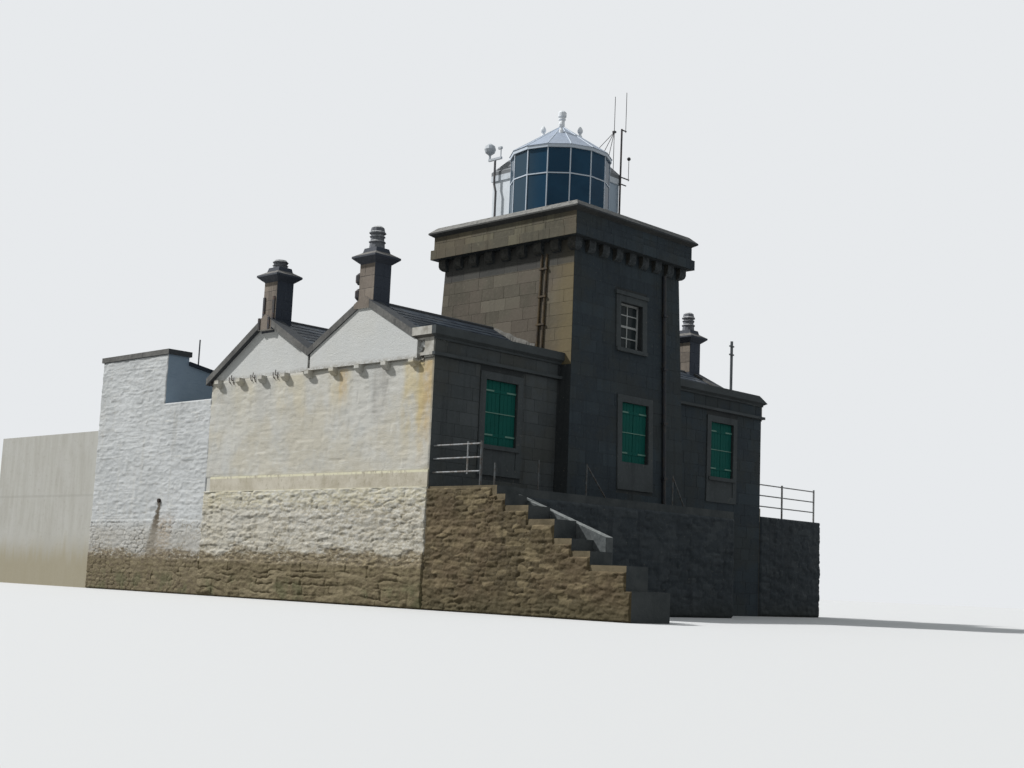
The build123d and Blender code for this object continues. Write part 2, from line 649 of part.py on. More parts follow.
def dwelling():
    shafts = chimney_shafts()
    left_gable = along_x(GABLE_OUTLINE, 0, WALL) - shafts
    right_gable = along_x(GABLE_OUTLINE, HOUSE_LENGTH - WALL, HOUSE_LENGTH) - shafts

    front = block(WALL, HOUSE_LENGTH - WALL, 0, WALL, 0, BED_BOTTOM) - TOWER
    for centre in (LEFT_WINDOW_X, RIGHT_WINDOW_X):
        front -= shutter_hole(centre, -WALL, 2 * WALL)

    rear_level = UNDER_ROOF[-1][1]
    rear_outline = [(HOUSE_DEPTH - WALL, 0), (HOUSE_DEPTH, 0), (HOUSE_DEPTH, rear_level),
                    (HOUSE_DEPTH - WALL, rear_level + REAR_SLOPE * WALL)]
    rear = along_x(rear_outline, WALL, HOUSE_LENGTH - WALL)
    for centre in (LEFT_WINDOW_X, RIGHT_WINDOW_X):
        rear -= shutter_hole(centre, HOUSE_DEPTH - 2 * WALL, HOUSE_DEPTH + WALL)
    rear -= door_hole()

    floor = block(WALL, HOUSE_LENGTH - WALL, WALL, HOUSE_DEPTH - WALL, FLOOR_TOP - FLOOR_THICKNESS,
                  FLOOR_TOP) - TOWER

    roof_x0, roof_x1 = VERGE_WIDTH, HOUSE_LENGTH - VERGE_WIDTH
    line = roof_line()
    front_roof = roof_slab(line[:3], roof_x0, roof_x1, ROOF_THICKNESS) - TOWER - shafts
    rear_roof = roof_slab(line[2:4] + [OUTER_EAVES], roof_x0, roof_x1, ROOF_THICKNESS) - TOWER - shafts

    verge_line = [(CORNICE_RETURN,
                   line[0][1] + FRONT_SLOPE * (CORNICE_RETURN - ROOF_START))] + line[1:4] + [OUTER_EAVES]
    verge_line = [(y, z + VERGE_RISE) for y, z in verge_line]
    verges = []
    for x0, x1 in ((-FACING_DEPTH - VERGE_OVERHANG, VERGE_WIDTH),
                   (roof_x1, HOUSE_LENGTH + FACING_DEPTH + VERGE_OVERHANG)):
        verges.append(roof_slab(verge_line, x0, x1, VERGE_RISE + ROOF_THICKNESS) - shafts)
    return {"gable_walls": loose([left_gable, right_gable]), "front_walls": front, "rear_wall": rear,
            "ground_floor": floor,
            "front_roof": front_roof,
            "rear_roof": rear_roof,
            "verge_copings": loose(verges)}


def door_hole():
    return block(TOWER_X - DOOR_WIDTH / 2, TOWER_X + DOOR_WIDTH / 2, HOUSE_DEPTH - 2 * WALL,
                 HOUSE_DEPTH + WALL, FLOOR_TOP, FLOOR_TOP + DOOR_HEIGHT)


def chimneys(gables):
    shafts = [shaft - gables for shaft in chimney_shafts()]
    caps = [chimney_cap(x, y) for x, y, pot in chimney_spots()]
    pots = [chimney_pot(x, y, pot) for x, y, pot in chimney_spots()]
    return {"chimneys": loose(shaft + cap for shaft, cap in zip(shafts, caps)), "chimney_pots": loose(pots)}


def cornice(gables):
    """A moulded cornice along the front that returns round both gables, with its right end weathered down."""
    def profile(low, high):
        return [(low - BED_DEPTH, BED_BOTTOM), (low - BED_DEPTH, BED_BOTTOM + BED_DEPTH),
                (low - CORNICE_DEPTH, CORNICE_BOTTOM),
                (low - CORNICE_DEPTH, CORNICE_TOP)] + high
    front = along_x(profile(0, [(CORNICE_RETURN, CORNICE_TOP), (CORNICE_RETURN, BED_BOTTOM)]),
                    -CORNICE_DEPTH, HOUSE_LENGTH + CORNICE_DEPTH)
    right_end = [(2 * HOUSE_LENGTH - x, z) for x, z in reversed(profile(HOUSE_LENGTH, []))]
    side = along_y(profile(0, right_end), -CORNICE_DEPTH, CORNICE_RETURN)
    inside = block(VERGE_WIDTH, HOUSE_LENGTH - VERGE_WIDTH, ROOF_START, 2 * CORNICE_RETURN, 0,
                   2 * CORNICE_TOP)
    tip = HOUSE_LENGTH + CORNICE_DEPTH
    beyond = tip + CORNICE_DEPTH
    cut = [(tip - CORNICE_END_SLOPE, CORNICE_TOP), (tip, CORNICE_BOTTOM), (beyond, CORNICE_BOTTOM),
           (beyond, 2 * CORNICE_TOP), (tip - CORNICE_END_SLOPE, 2 * CORNICE_TOP)]
    weathering = along_y(cut, -WALL, CORNICE_RETURN + WALL)
    return (front & side) - inside - weathering - TOWER - gables


def string_courses():
    """A thin course under the cornice, and a broad flat band across the foot of each gable."""
    outside = block(-STRING_DEPTH, HOUSE_LENGTH + STRING_DEPTH, -STRING_DEPTH, STRING_RETURN, STRING_BOTTOM,
                    STRING_TOP)
    course = outside - block(0, HOUSE_LENGTH, 0, HOUSE_DEPTH, STRING_BOTTOM, STRING_TOP) - TOWER
    bands = [block(-BAND_DEPTH, 0, 0, BAND_LENGTH, BAND_BOTTOM, BAND_TOP),
             block(HOUSE_LENGTH, HOUSE_LENGTH + BAND_DEPTH, 0, BAND_LENGTH, BAND_BOTTOM, BAND_TOP)]
    return loose([course] + bands)


def gable_facings():
    """The front half of each gable stands proud on a row of corbels, with a weep slot under the valley."""
    points = [(y, z) for y, z in UNDER_ROOF if FACING_START < y < FACING_END]
    start = (FACING_START, UNDER_ROOF[0][1])
    climb = (REAR_RIDGE_TOP - FRONT_RIDGE_TOP + FRONT_SLOPE * (VALLEY - FRONT_RIDGE)) / (REAR_RIDGE - VALLEY)
    end_level = points[-1][1] + climb * (FACING_END - VALLEY)
    face = [(FACING_START, LEDGE_LEVEL), start] + points + [(FACING_END, end_level),
                                                            (FACING_END, LEDGE_LEVEL)]
    slot = (SLOT_Y - SLOT_WIDTH / 2, SLOT_Y + SLOT_WIDTH / 2, SLOT_BOTTOM, SLOT_TOP)
    left = along_x(face, -FACING_DEPTH, 0) - block(-FACING_DEPTH, 0, *slot)
    right = along_x(face, HOUSE_LENGTH, HOUSE_LENGTH + FACING_DEPTH) - block(HOUSE_LENGTH,
                                                                             HOUSE_LENGTH + FACING_DEPTH, *slot)
    return loose([left, right])


def gable_corbels():
    pieces = []
    for i in range(GABLE_CORBELS):
        y = GABLE_CORBEL_START + i * GABLE_CORBEL_PITCH
        low, high = y - GABLE_CORBEL_WIDTH / 2, y + GABLE_CORBEL_WIDTH / 2
        side = [(0, LEDGE_LEVEL), (0, LEDGE_LEVEL - GABLE_CORBEL_HEIGHT),
                (-GABLE_CORBEL_DEPTH * 0.4, LEDGE_LEVEL - GABLE_CORBEL_HEIGHT),
                (-GABLE_CORBEL_DEPTH, LEDGE_LEVEL - GABLE_CORBEL_HEIGHT * 0.5), (-GABLE_CORBEL_DEPTH,
                                                                                 LEDGE_LEVEL)]
        pieces.append(along_y(side, low, high))
        pieces.append(along_y([(HOUSE_LENGTH - x, z) for x, z in side], low, high))
    return loose(pieces)


def surround(centre, width, bottom, height, y_face, outside):
    """A raised frame round an opening with a sill, jambs that run on down, and a plain panel between them."""
    half = width / 2
    frame = block(centre - half - SURROUND_WIDTH, centre + half + SURROUND_WIDTH, y_face - outside, y_face,
                  APRON_BOTTOM, bottom + height + SURROUND_WIDTH)
    frame -= block(centre - half, centre + half, y_face - 2 * outside, y_face + outside,
                   APRON_BOTTOM + SURROUND_WIDTH, bottom + height)
    panel = block(centre - half, centre + half, y_face - outside / 2, y_face, APRON_BOTTOM + SURROUND_WIDTH,
                  bottom - SILL_HEIGHT)
    sill = block(centre - half - SILL_HEIGHT, centre + half + SILL_HEIGHT, y_face - 2 * outside, y_face,
                 bottom - SILL_HEIGHT, bottom)
    return frame + panel + sill


def wing_surrounds():
    size = (SHUTTER_WINDOW_WIDTH, SHUTTER_WINDOW_BOTTOM, SHUTTER_WINDOW_HEIGHT)
    return [surround(centre, *size, 0, SURROUND_DEPTH) for centre in (LEFT_WINDOW_X, RIGHT_WINDOW_X)]


def rear_surrounds():
    return [Pos(0, HOUSE_DEPTH, 0) * mirror(piece, Plane.XZ) for piece in wing_surrounds()]


def tower_surrounds():
    """The frames on the tower, which lean with its face."""
    lower = surround(TOWER_WINDOW_X, SHUTTER_WINDOW_WIDTH, SHUTTER_WINDOW_BOTTOM, SHUTTER_WINDOW_HEIGHT,
                     TOWER_Y, 2 * TOWER_HALF_Y)
    lower = lower & (tower_envelope(SHAFT_HEIGHT, SURROUND_DEPTH) - TOWER)
    half = SASH_WIDTH / 2
    top = SASH_BOTTOM + SASH_HEIGHT
    proud = tower_envelope(SHAFT_HEIGHT, SURROUND_DEPTH) - TOWER
    very_proud = tower_envelope(SHAFT_HEIGHT, 2 * SURROUND_DEPTH) - TOWER
    upper = proud & block(SASH_X - half - SURROUND_WIDTH, SASH_X + half + SURROUND_WIDTH, -TOWER_HALF_Y,
                          TOWER_Y, SASH_BOTTOM, top + SURROUND_WIDTH)
    upper -= window_hole(SASH_X, SASH_WIDTH, SASH_BOTTOM, SASH_HEIGHT, -TOWER_HALF_Y, TOWER_Y)
    head = very_proud & block(SASH_X - half - SURROUND_WIDTH - SURROUND_DEPTH,
                              SASH_X + half + SURROUND_WIDTH + SURROUND_DEPTH,
                              -TOWER_HALF_Y, TOWER_Y, top + SURROUND_WIDTH, top + SURROUND_WIDTH + SILL_HEIGHT)
    sill = very_proud & block(SASH_X - half - SURROUND_WIDTH, SASH_X + half + SURROUND_WIDTH, -TOWER_HALF_Y,
                              TOWER_Y,
                              SASH_BOTTOM - SILL_HEIGHT, SASH_BOTTOM)
    return [lower, upper + head + sill]


def shutters(centre, y_front):
    """A pair of ledged shutter leaves that fill the opening, with a gap between them."""
    bottom, top = SHUTTER_WINDOW_BOTTOM, SHUTTER_WINDOW_BOTTOM + SHUTTER_WINDOW_HEIGHT
    half = SHUTTER_WINDOW_WIDTH / 2
    leaves = []
    for x0, x1 in ((centre - half, centre - SHUTTER_GAP / 2), (centre + SHUTTER_GAP / 2, centre + half)):
        leaf = block(x0, x1, y_front, y_front + SHUTTER_THICKNESS, bottom, top)
        for level in (bottom + 0.16 * SHUTTER_WINDOW_HEIGHT, bottom + 0.84 * SHUTTER_WINDOW_HEIGHT):
            leaf += block(x0, x1, y_front - LEDGER_DEPTH, y_front, level - LEDGER_HEIGHT / 2,
                          level + LEDGER_HEIGHT / 2)
        leaves.append(leaf)
    return leaves


def window_shutters():
    wing = shutters(LEFT_WINDOW_X, SHUTTER_SETBACK) + shutters(RIGHT_WINDOW_X, SHUTTER_SETBACK)
    rear = [Pos(0, HOUSE_DEPTH, 0) * mirror(leaf, Plane.XZ) for leaf in wing]
    tower_y = tower_front(SHUTTER_WINDOW_BOTTOM + SHUTTER_WINDOW_HEIGHT) + SHUTTER_SETBACK
    return loose(wing + rear + shutters(TOWER_WINDOW_X, tower_y))


def rear_door():
    x0, x1 = TOWER_X - DOOR_WIDTH / 2, TOWER_X + DOOR_WIDTH / 2
    y = HOUSE_DEPTH - SHUTTER_SETBACK
    return block(x0, x1, y - SHUTTER_THICKNESS, y, FLOOR_TOP, FLOOR_TOP + DOOR_HEIGHT)


def sash_window():
    """Two sashes of two by two panes behind the tower's face."""
    y0 = tower_front(SASH_BOTTOM + SASH_HEIGHT) + SASH_RECESS
    y1 = y0 + SASH_BAR
    x0, x1 = SASH_X - SASH_WIDTH / 2, SASH_X + SASH_WIDTH / 2
    z0, z1 = SASH_BOTTOM, SASH_BOTTOM + SASH_HEIGHT
    frame = block(x0, x1, y0, y1, z0, z1) - block(x0 + SASH_BAR, x1 - SASH_BAR, y0, y1, z0 + SASH_BAR,
                                                  z1 - SASH_BAR)
    frame += block(SASH_X - SASH_BAR / 4, SASH_X + SASH_BAR / 4, y0, y1, z0, z1)
    for i in (1, 2, 3):
        level = z0 + i * SASH_HEIGHT / 4
        half = SASH_BAR / 2 if i == 2 else SASH_BAR / 4
        frame += block(x0, x1, y0, y1, level - half, level + half)
    middle = (y0 + y1) / 2
    half = SASH_GLASS / 2
    glass = block(x0 + SASH_BAR / 2, x1 - SASH_BAR / 2, middle - half, middle + half, z0 + SASH_BAR / 2,
                  z1 - SASH_BAR / 2) - frame
    return frame, glass


def downpipes():
    """A black pipe down the front of the tower and a pair of thin ones down its left face."""
    gutter_level = SHAFT_HEIGHT - CORBEL_HEIGHT
    pipe_foot = TERRACE_TOP + PIPE_FOOT_GAP
    pieces = [rod((PIPE_X, tower_front(pipe_foot) - PIPE_RADIUS + 4, pipe_foot),
                  (PIPE_X, tower_front(gutter_level) - PIPE_RADIUS + 4, gutter_level), PIPE_RADIUS, 16)]
    for y in LEFT_PIPES:
        level = FRONT_RIDGE_TOP - FRONT_SLOPE * (FRONT_RIDGE - y)
        low_x = TOWER_X - tower_half(level)[0] - THIN_PIPE_RADIUS + 4
        high_x = TOWER_X - tower_half(gutter_level)[0] - THIN_PIPE_RADIUS + 4
        pieces.append(rod((low_x, y, level), (high_x, y, gutter_level), THIN_PIPE_RADIUS))
    return loose(pieces)


def roof_poles():
    """A short pole with two cross-arms on the right wing, and a plain thin one on the store in the yard."""
    foot = CORNICE_TOP
    pole = rod((POLE_X, POLE_Y, foot), (POLE_X, POLE_Y, POLE_TOP), POLE_RADIUS)
    arms = []
    for share in POLE_ARMS:
        level = POLE_TOP - share * (POLE_TOP - foot)
        arms.append(block(POLE_X - POLE_REACH, POLE_X + POLE_REACH, POLE_Y - POLE_RADIUS / 2,
                          POLE_Y + POLE_RADIUS / 2,
                          level - POLE_RADIUS / 2, level + POLE_RADIUS / 2))
    foot = store_level(YARD_POLE_X) + ROOF_THICKNESS / 2
    store_pole = rod((YARD_POLE_X, YARD_POLE_Y, foot), (YARD_POLE_X, YARD_POLE_Y, YARD_POLE_TOP),
                     YARD_POLE_RADIUS)
    return [union([pole] + arms), store_pole]


# Terrace and steps

def terrace():
    slab = block(0, TERRACE_LENGTH, -TERRACE_DEPTH, 0, TERRACE_TOP - TERRACE_SLAB, TERRACE_TOP) - TOWER
    side = block(0, RETAINING_WALL, -TERRACE_DEPTH, 0, 0, TERRACE_TOP - TERRACE_SLAB)
    front = block(RETAINING_WALL, TERRACE_LENGTH, -TERRACE_DEPTH, RETAINING_WALL - TERRACE_DEPTH, 0,
                  TERRACE_TOP - TERRACE_SLAB)
    end = block(TERRACE_LENGTH - RETAINING_WALL, TERRACE_LENGTH, RETAINING_WALL - TERRACE_DEPTH, 0, 0,
                TERRACE_TOP - TERRACE_SLAB)
    ends = loose([side, end])
    return {"terrace_floor": slab, "terrace_front_wall": front - TOWER, "terrace_end_walls": ends - TOWER}


def steps():
    """The landing and sea steps, built on the wall that carries them, with a wide block at their foot."""
    landing, level = STEP_EDGES[0]
    body = [block(0, FLIGHT_WIDTH, -landing, -TERRACE_DEPTH, 0, TERRACE_TOP - TREAD_THICKNESS)]
    treads = [block(0, FLIGHT_WIDTH, -landing, -TERRACE_DEPTH, TERRACE_TOP - TREAD_THICKNESS, TERRACE_TOP)]
    for (edge, level), (following, lower) in zip(STEP_EDGES, STEP_EDGES[1:]):
        body.append(block(0, FLIGHT_WIDTH, -following, -edge, 0, level - TREAD_THICKNESS))
        treads.append(block(0, FLIGHT_WIDTH, -following, -edge, level - TREAD_THICKNESS, level))
    edge, level = STEP_EDGES[-1]
    body.append(block(0, FOOT_BLOCK_WIDTH, -FOOT_BLOCK_FRONT, -edge, 0, level))
    return {"step_wall": union(body), "step_treads": loose(treads)}


def kerb():
    """A sloping wall beside the steps."""
    side = [(-TERRACE_DEPTH, 0), (-TERRACE_DEPTH, APRON_HEAD), (-APRON_REACH, APRON_TOE), (-APRON_REACH, 0)]
    return along_x(side, FLIGHT_WIDTH, FLIGHT_WIDTH + KERB_WIDTH)


def railings():
    x = RAIL_INSET
    end = -SIDE_RAIL_LENGTH
    side = [rod((x, 0, z), (x, end, z), RAIL_RADIUS) for z in SIDE_RAIL_LEVELS]
    side.append(rod((x, end, TERRACE_TOP), (x, end, SIDE_RAIL_LEVELS[-1] + RAIL_END_GAP), POST_RADIUS))
    middle = end * SIDE_RAIL_MIDDLE
    side.append(rod((x, middle, SIDE_RAIL_LEVELS[0] - RAIL_END_GAP),
                    (x, middle, SIDE_RAIL_LEVELS[-1] + RAIL_END_GAP), RAIL_RADIUS))
    y = RIGHT_WALL_THICKNESS / 2
    start, stop = HOUSE_LENGTH, HOUSE_LENGTH + RIGHT_RAIL_LENGTH
    right = [rod((start, y, z), (stop, y, z), RAIL_RADIUS) for z in RIGHT_RAIL_LEVELS]
    for x in (start + RIGHT_RAIL_MIDDLE * RIGHT_RAIL_LENGTH, stop):
        right.append(rod((x, y, RIGHT_WALL_TOP), (x, y, RIGHT_RAIL_LEVELS[-1] + RAIL_END_GAP), POST_RADIUS))
    return [union(side), union(right)]


def stanchions():
    """Old rail posts on the terrace, each held by a slanting strut."""
    pieces = []
    for x, reach in STANCHIONS:
        y = STANCHION_Y
        post = rod((x, y, TERRACE_TOP), (x, y, STANCHION_TOP), RAIL_RADIUS)
        strut = rod((x, y, STANCHION_TOP - STRUT_DROP), (x + reach, y, TERRACE_TOP + RAIL_RADIUS),
                    RAIL_RADIUS)
        foot = block(x + reach - STRUT_FOOT, x + reach + STRUT_FOOT, y - STRUT_FOOT, y + STRUT_FOOT,
                     TERRACE_TOP, TERRACE_TOP + STRUT_FOOT / 2)
        pieces.append(union([post, strut, foot]))
    for x, y, top in LONE_POSTS:
        pieces.append(rod((x, y, TERRACE_TOP), (x, y, top), RAIL_RADIUS))
    return pieces


# Yard

def yard():
    low = block(0, YARD_WALL, HOUSE_DEPTH, YARD_HIGH_START, 0, YARD_LOW_TOP)
    high = block(0, YARD_WALL, YARD_HIGH_START, YARD_HIGH_END, 0, YARD_HIGH_TOP)
    high += block(YARD_WALL, YARD_RETURN, YARD_HIGH_START, YARD_HIGH_START + YARD_WALL, 0, YARD_HIGH_TOP)
    lip = YARD_COPING_LIP
    coping = block(-lip, YARD_WALL + lip, YARD_HIGH_START - lip, YARD_HIGH_END + lip, YARD_HIGH_TOP,
                   YARD_HIGH_TOP + YARD_COPING)
    coping += block(YARD_WALL, YARD_RETURN + lip, YARD_HIGH_START - lip, YARD_HIGH_START + YARD_WALL + lip,
                    YARD_HIGH_TOP, YARD_HIGH_TOP + YARD_COPING)
    boundary = block(BOUNDARY_SETBACK, BOUNDARY_SETBACK + BOUNDARY_THICKNESS, YARD_HIGH_END, BOUNDARY_END, 0,
                     BOUNDARY_TOP)
    return {"yard_wall_low": low, "yard_wall_high": high, "yard_coping": coping, "boundary_wall": boundary}


def store_level(x):
    """The underside of the store's lean-to roof at a distance behind the yard wall's face."""
    fall = OUTBUILDING_RISE / (OUTBUILDING_REACH - YARD_WALL)
    return OUTBUILDING_EAVES + fall * (OUTBUILDING_REACH - x)


def outbuilding():
    """A store behind the high yard wall under a lean-to roof that falls away from it."""
    y0, y1, t = YARD_HIGH_START, YARD_HIGH_END, OUTBUILDING_WALL
    end_outline = [(YARD_WALL, 0), (OUTBUILDING_REACH, 0),
                   (OUTBUILDING_REACH, store_level(OUTBUILDING_REACH)), (YARD_WALL, store_level(YARD_WALL))]
    near = along_y(end_outline, y0, y0 + t) - block(0, YARD_RETURN, y0 - t, y0 + YARD_WALL, 0, YARD_HIGH_TOP)
    far = along_y(end_outline, y1 - t, y1)
    right_outline = [(OUTBUILDING_REACH - t, 0), (OUTBUILDING_REACH, 0),
                     (OUTBUILDING_REACH, store_level(OUTBUILDING_REACH)),
                     (OUTBUILDING_REACH - t, store_level(OUTBUILDING_REACH - t))]
    right = along_y(right_outline, y0 + t, y1 - t)
    x_end = OUTBUILDING_REACH + EAVES_OVERHANG
    high, low = store_level(YARD_WALL), store_level(x_end)
    roof_outline = [(YARD_WALL, high), (x_end, low), (x_end, low + ROOF_THICKNESS),
                    (YARD_WALL, high + ROOF_THICKNESS)]
    roof = along_y(roof_outline, y0 - YARD_COPING_LIP, y1 + YARD_COPING_LIP)
    roof -= block(0, YARD_RETURN, y0 - t, y0 + YARD_WALL, 0, YARD_HIGH_TOP)
    return {"outbuilding_end_walls": loose([near, far]), "outbuilding_side_wall": right,
            "outbuilding_roof": roof}


def right_wall():
    return block(HOUSE_LENGTH, HOUSE_LENGTH + RIGHT_RAIL_LENGTH + RAIL_END_GAP, 0, RIGHT_WALL_THICKNESS, 0,
                 RIGHT_WALL_TOP)


nodes = {}
nodes.update(tower_walls())
nodes["tower_floors"] = tower_floors()
nodes["tower_corbels"] = tower_corbels()
nodes.update(tower_top())
nodes["sash_window"], sash_glass = sash_window()
nodes["lantern_base"] = lantern_base()
nodes["lantern_frame"] = lantern_frame()
nodes["window_glass"] = loose([sash_glass, lantern_glass(nodes["lantern_frame"])])
nodes["lantern_roof"] = lantern_roof()
nodes["roof_vent"] = vent()
nodes["ball_finials"] = finials()
nodes.update(stair_hut())
nodes["camera_mast"] = camera_mast()
nodes["aerial_mast"] = aerial_mast() - nodes["stair_hut_roof"] - nodes["stair_hut_walls"]
nodes.update(dwelling())
gables = nodes["gable_walls"]
nodes.update(chimneys(gables))
nodes["cornice"] = cornice(gables)
nodes["string_courses"] = string_courses()
nodes["gable_facings"] = gable_facings() - nodes["verge_copings"] - nodes["cornice"]
nodes["gable_corbels"] = gable_corbels()
nodes["window_surrounds"] = loose(wing_surrounds() + rear_surrounds() + tower_surrounds())
nodes["window_shutters"] = window_shutters()
nodes["rear_door"] = rear_door()
nodes["downpipes"] = downpipes() - TOWER - nodes["front_roof"]
nodes.update(terrace())
nodes.update(steps())
nodes["step_kerb"] = kerb()
nodes["railings"] = loose(railings() + stanchions())
nodes.update(yard())
nodes.update(outbuilding())
right_pole, store_pole = roof_poles()
nodes["roof_poles"] = loose([right_pole, store_pole - nodes["outbuilding_roof"]])
nodes["right_wall"] = right_wall() - nodes["string_courses"]

os.makedirs("parts", exist_ok=True)
for name, shape in nodes.items():
    export_step(Pos(-TOWER_X, -TOWER_Y, 0) * shape, f"parts/{name}.step")
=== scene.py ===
import math
import random

import bpy
import numpy as np
from mathutils import Matrix, Vector


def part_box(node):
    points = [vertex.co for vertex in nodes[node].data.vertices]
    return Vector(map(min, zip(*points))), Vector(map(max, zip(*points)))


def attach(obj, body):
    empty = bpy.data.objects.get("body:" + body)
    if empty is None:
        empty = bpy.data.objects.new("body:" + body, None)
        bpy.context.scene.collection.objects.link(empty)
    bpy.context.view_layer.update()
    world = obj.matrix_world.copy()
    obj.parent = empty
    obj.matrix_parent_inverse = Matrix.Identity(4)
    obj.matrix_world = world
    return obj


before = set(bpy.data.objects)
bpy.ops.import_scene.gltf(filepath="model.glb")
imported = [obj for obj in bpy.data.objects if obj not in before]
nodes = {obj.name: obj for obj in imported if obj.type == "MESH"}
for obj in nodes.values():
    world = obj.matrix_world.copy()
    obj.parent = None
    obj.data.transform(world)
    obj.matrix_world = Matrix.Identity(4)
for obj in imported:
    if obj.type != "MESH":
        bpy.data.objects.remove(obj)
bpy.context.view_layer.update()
rng = random.Random(7)

# The main planes of the building, in metres, read from the frame.
HOUSE_LOW, HOUSE_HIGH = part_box("gable_walls")
WALL_X0, WALL_X1 = HOUSE_LOW.x, HOUSE_HIGH.x
FRONT_Y, REAR_Y = HOUSE_LOW.y, HOUSE_HIGH.y
HOUSE_WIDTH, HOUSE_DEPTH = WALL_X1 - WALL_X0, REAR_Y - FRONT_Y
FRIEZE_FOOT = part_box("string_courses")[1].z
CORNICE_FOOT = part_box("cornice")[0].z
TERRACE_LOW, TERRACE_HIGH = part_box("terrace_floor")
PARAPET_LOW, PARAPET_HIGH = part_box("tower_parapet")
TOWER_LOW, TOWER_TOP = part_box("tower_wall_front")
TOWER_X0, TOWER_X1 = TOWER_LOW.x, TOWER_TOP.x
TOWER_Y0, TOWER_Y1 = TOWER_LOW.y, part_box("tower_wall_rear")[1].y
SASH_LOW, SASH_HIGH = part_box("sash_window")
FRONT_ROOF_LOW, FRONT_ROOF_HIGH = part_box("front_roof")
REAR_ROOF_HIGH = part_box("rear_roof")[1]
YARD_LOW, YARD_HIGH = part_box("yard_wall_high")
YARD_LOW_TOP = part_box("yard_wall_low")[1].z
RIGHT_LOW, RIGHT_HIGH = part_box("right_wall")
VERGE_X0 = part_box("verge_copings")[0].x
LANTERN_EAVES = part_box("lantern_roof")[0].z

# Measures of the masonry.
BATTER = 0.03
COURSE = 0.34
JOINT = 0.008
FINE_JOINT = 0.005
BAND_BOTTOM, BAND_TOP = 2.99, 3.42
LEDGE = 6.25
FOOTING = 1.04
YARD_LEDGE = 2.176
GROUND_GAP = 0.01
LAP = 0.025
DRAIN_Y, DRAIN_Z = 9.633, 2.765
OUTLET_Y = 2.64
CORBEL_PITCH = 1.057
STEPS_START, TREAD_THICKNESS = 2.2, 0.13
# The outer edge of each sea step, out from the dwelling's front, and its level.
TREADS = ((2.36, 2.88), (2.64, 2.79), (3.39, 2.52), (4.21, 2.20),
          (4.74, 1.77), (5.29, 1.50), (6.32, 1.20), (6.48, 0.66))
# The length, the depth and the bevel of squared stones.
TOWER_STONES = (0.75, 0.007, 0.004)
PARAPET_STONES = (0.62, 0.010, 0.006)
FRONT_STONES = (0.7, 0.010, 0.008)
CHIMNEY_STONES = (0.42, 0.008, 0.008)

# Measures of the windows, the chimneys and the roofs. Wing windows are measured from the left corner,
# the tower's window from the middle of its front.
WINDOW_HALF, SURROUND = 0.6, 0.21
WINDOW_FOOT, WINDOW_HEAD = 3.4, 6.14
SHUTTER_FOOT, SHUTTER_HEAD = 4.23, 5.93
TOWER_WINDOW = 0.30
WING_WINDOWS = (2.43, 12.35)
SHAFT_WIDTH, SHAFT_DEPTH, SHAFT_TOP = 0.565, 0.61, 8.98
FRONT_STACK, REAR_STACK = 0.185, 4.425
FRONT_RIDGE, VALLEY, REAR_RIDGE = 0.42, 2.67, 4.73
FRONT_SLOPE, REAR_SLOPE = 0.54, 0.61
STACK_REACH = 0.27
HUT_EAVES = 13.09
MAST_ARM = 13.775
LANTERN_X, LANTERN_APEX = -0.25, 14.57
LANTERN_SIDES, LANTERN_TURN = 14, -139.7


# Geometry helpers

def mesh_piece(name, verts, faces, material, values, smooth=False):
    """A mesh piece that rides on the building, with values on its faces or points for its material."""
    mesh = bpy.data.meshes.new(name)
    mesh.from_pydata(verts, [], faces)
    for key, numbers in values.items():
        layer = mesh.attributes.new(key, "FLOAT", "POINT" if smooth else "FACE")
        layer.data.foreach_set("value", numbers)
    if smooth:
        mesh.polygons.foreach_set("use_smooth", [True] * len(mesh.polygons))
    else:
        mesh.validate()
    mesh.materials.append(material)
    obj = bpy.data.objects.new(name, mesh)
    bpy.context.collection.objects.link(obj)
    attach(obj, "root")


class Pile:
    """Collects many small solids into one mesh."""

    def __init__(self):
        self.verts, self.faces, self.shades = [], [], []

    def add(self, verts, faces, shade=0.5):
        start = len(self.verts)
        self.verts.extend(verts)
        self.faces.extend(tuple(start + i for i in face) for face in faces)
        self.shades.extend([shade] * len(faces))

    def box(self, x0, x1, y0, y1, z0, z1, shade=0.5):
        verts = [(x, y, z) for z in (z0, z1) for y in (y0, y1) for x in (x0, x1)]
        faces = [(0, 2, 3, 1), (4, 5, 7, 6), (0, 1, 5, 4), (2, 6, 7, 3), (0, 4, 6, 2), (1, 3, 7, 5)]
        self.add(verts, faces, shade)

    def rings(self, rings, shade=0.5):
        """A closed solid through rings that all have the same number of points."""
        sides = len(rings[0])
        faces = []
        for start in range(0, (len(rings) - 1) * sides, sides):
            for i in range(sides):
                j = (i + 1) % sides
                faces.append((start + i, start + j, start + sides + j, start + sides + i))
        last = (len(rings) - 1) * sides
        faces += [tuple(reversed(range(sides))), tuple(range(last, last + sides))]
        self.add([point for ring in rings for point in ring], faces, shade)

    def bar(self, start, end, radius, sides=8, shade=0.5):
        """A round bar between two points."""
        a, b = Vector(start), Vector(end)
        turn = (b - a).to_track_quat("Z", "Y")
        ring = [turn @ Vector((x, y, 0)) for x, y in circle(radius, sides)]
        self.rings([[a + r for r in ring], [b + r for r in ring]], shade)

    def turned(self, x0, y0, rings, sides):
        """A turned piece from its (radius, height) rings."""
        self.rings([[(x0 + x, y0 + y, z) for x, y in circle(radius, sides)] for radius, z in rings])

    def piece(self, name, material):
        mesh_piece(name, self.verts, self.faces, material, {"shade": self.shades})


def circle(radius, sides):
    turns = [2 * math.pi * i / sides for i in range(sides)]
    return [(radius * math.cos(turn), radius * math.sin(turn)) for turn in turns]


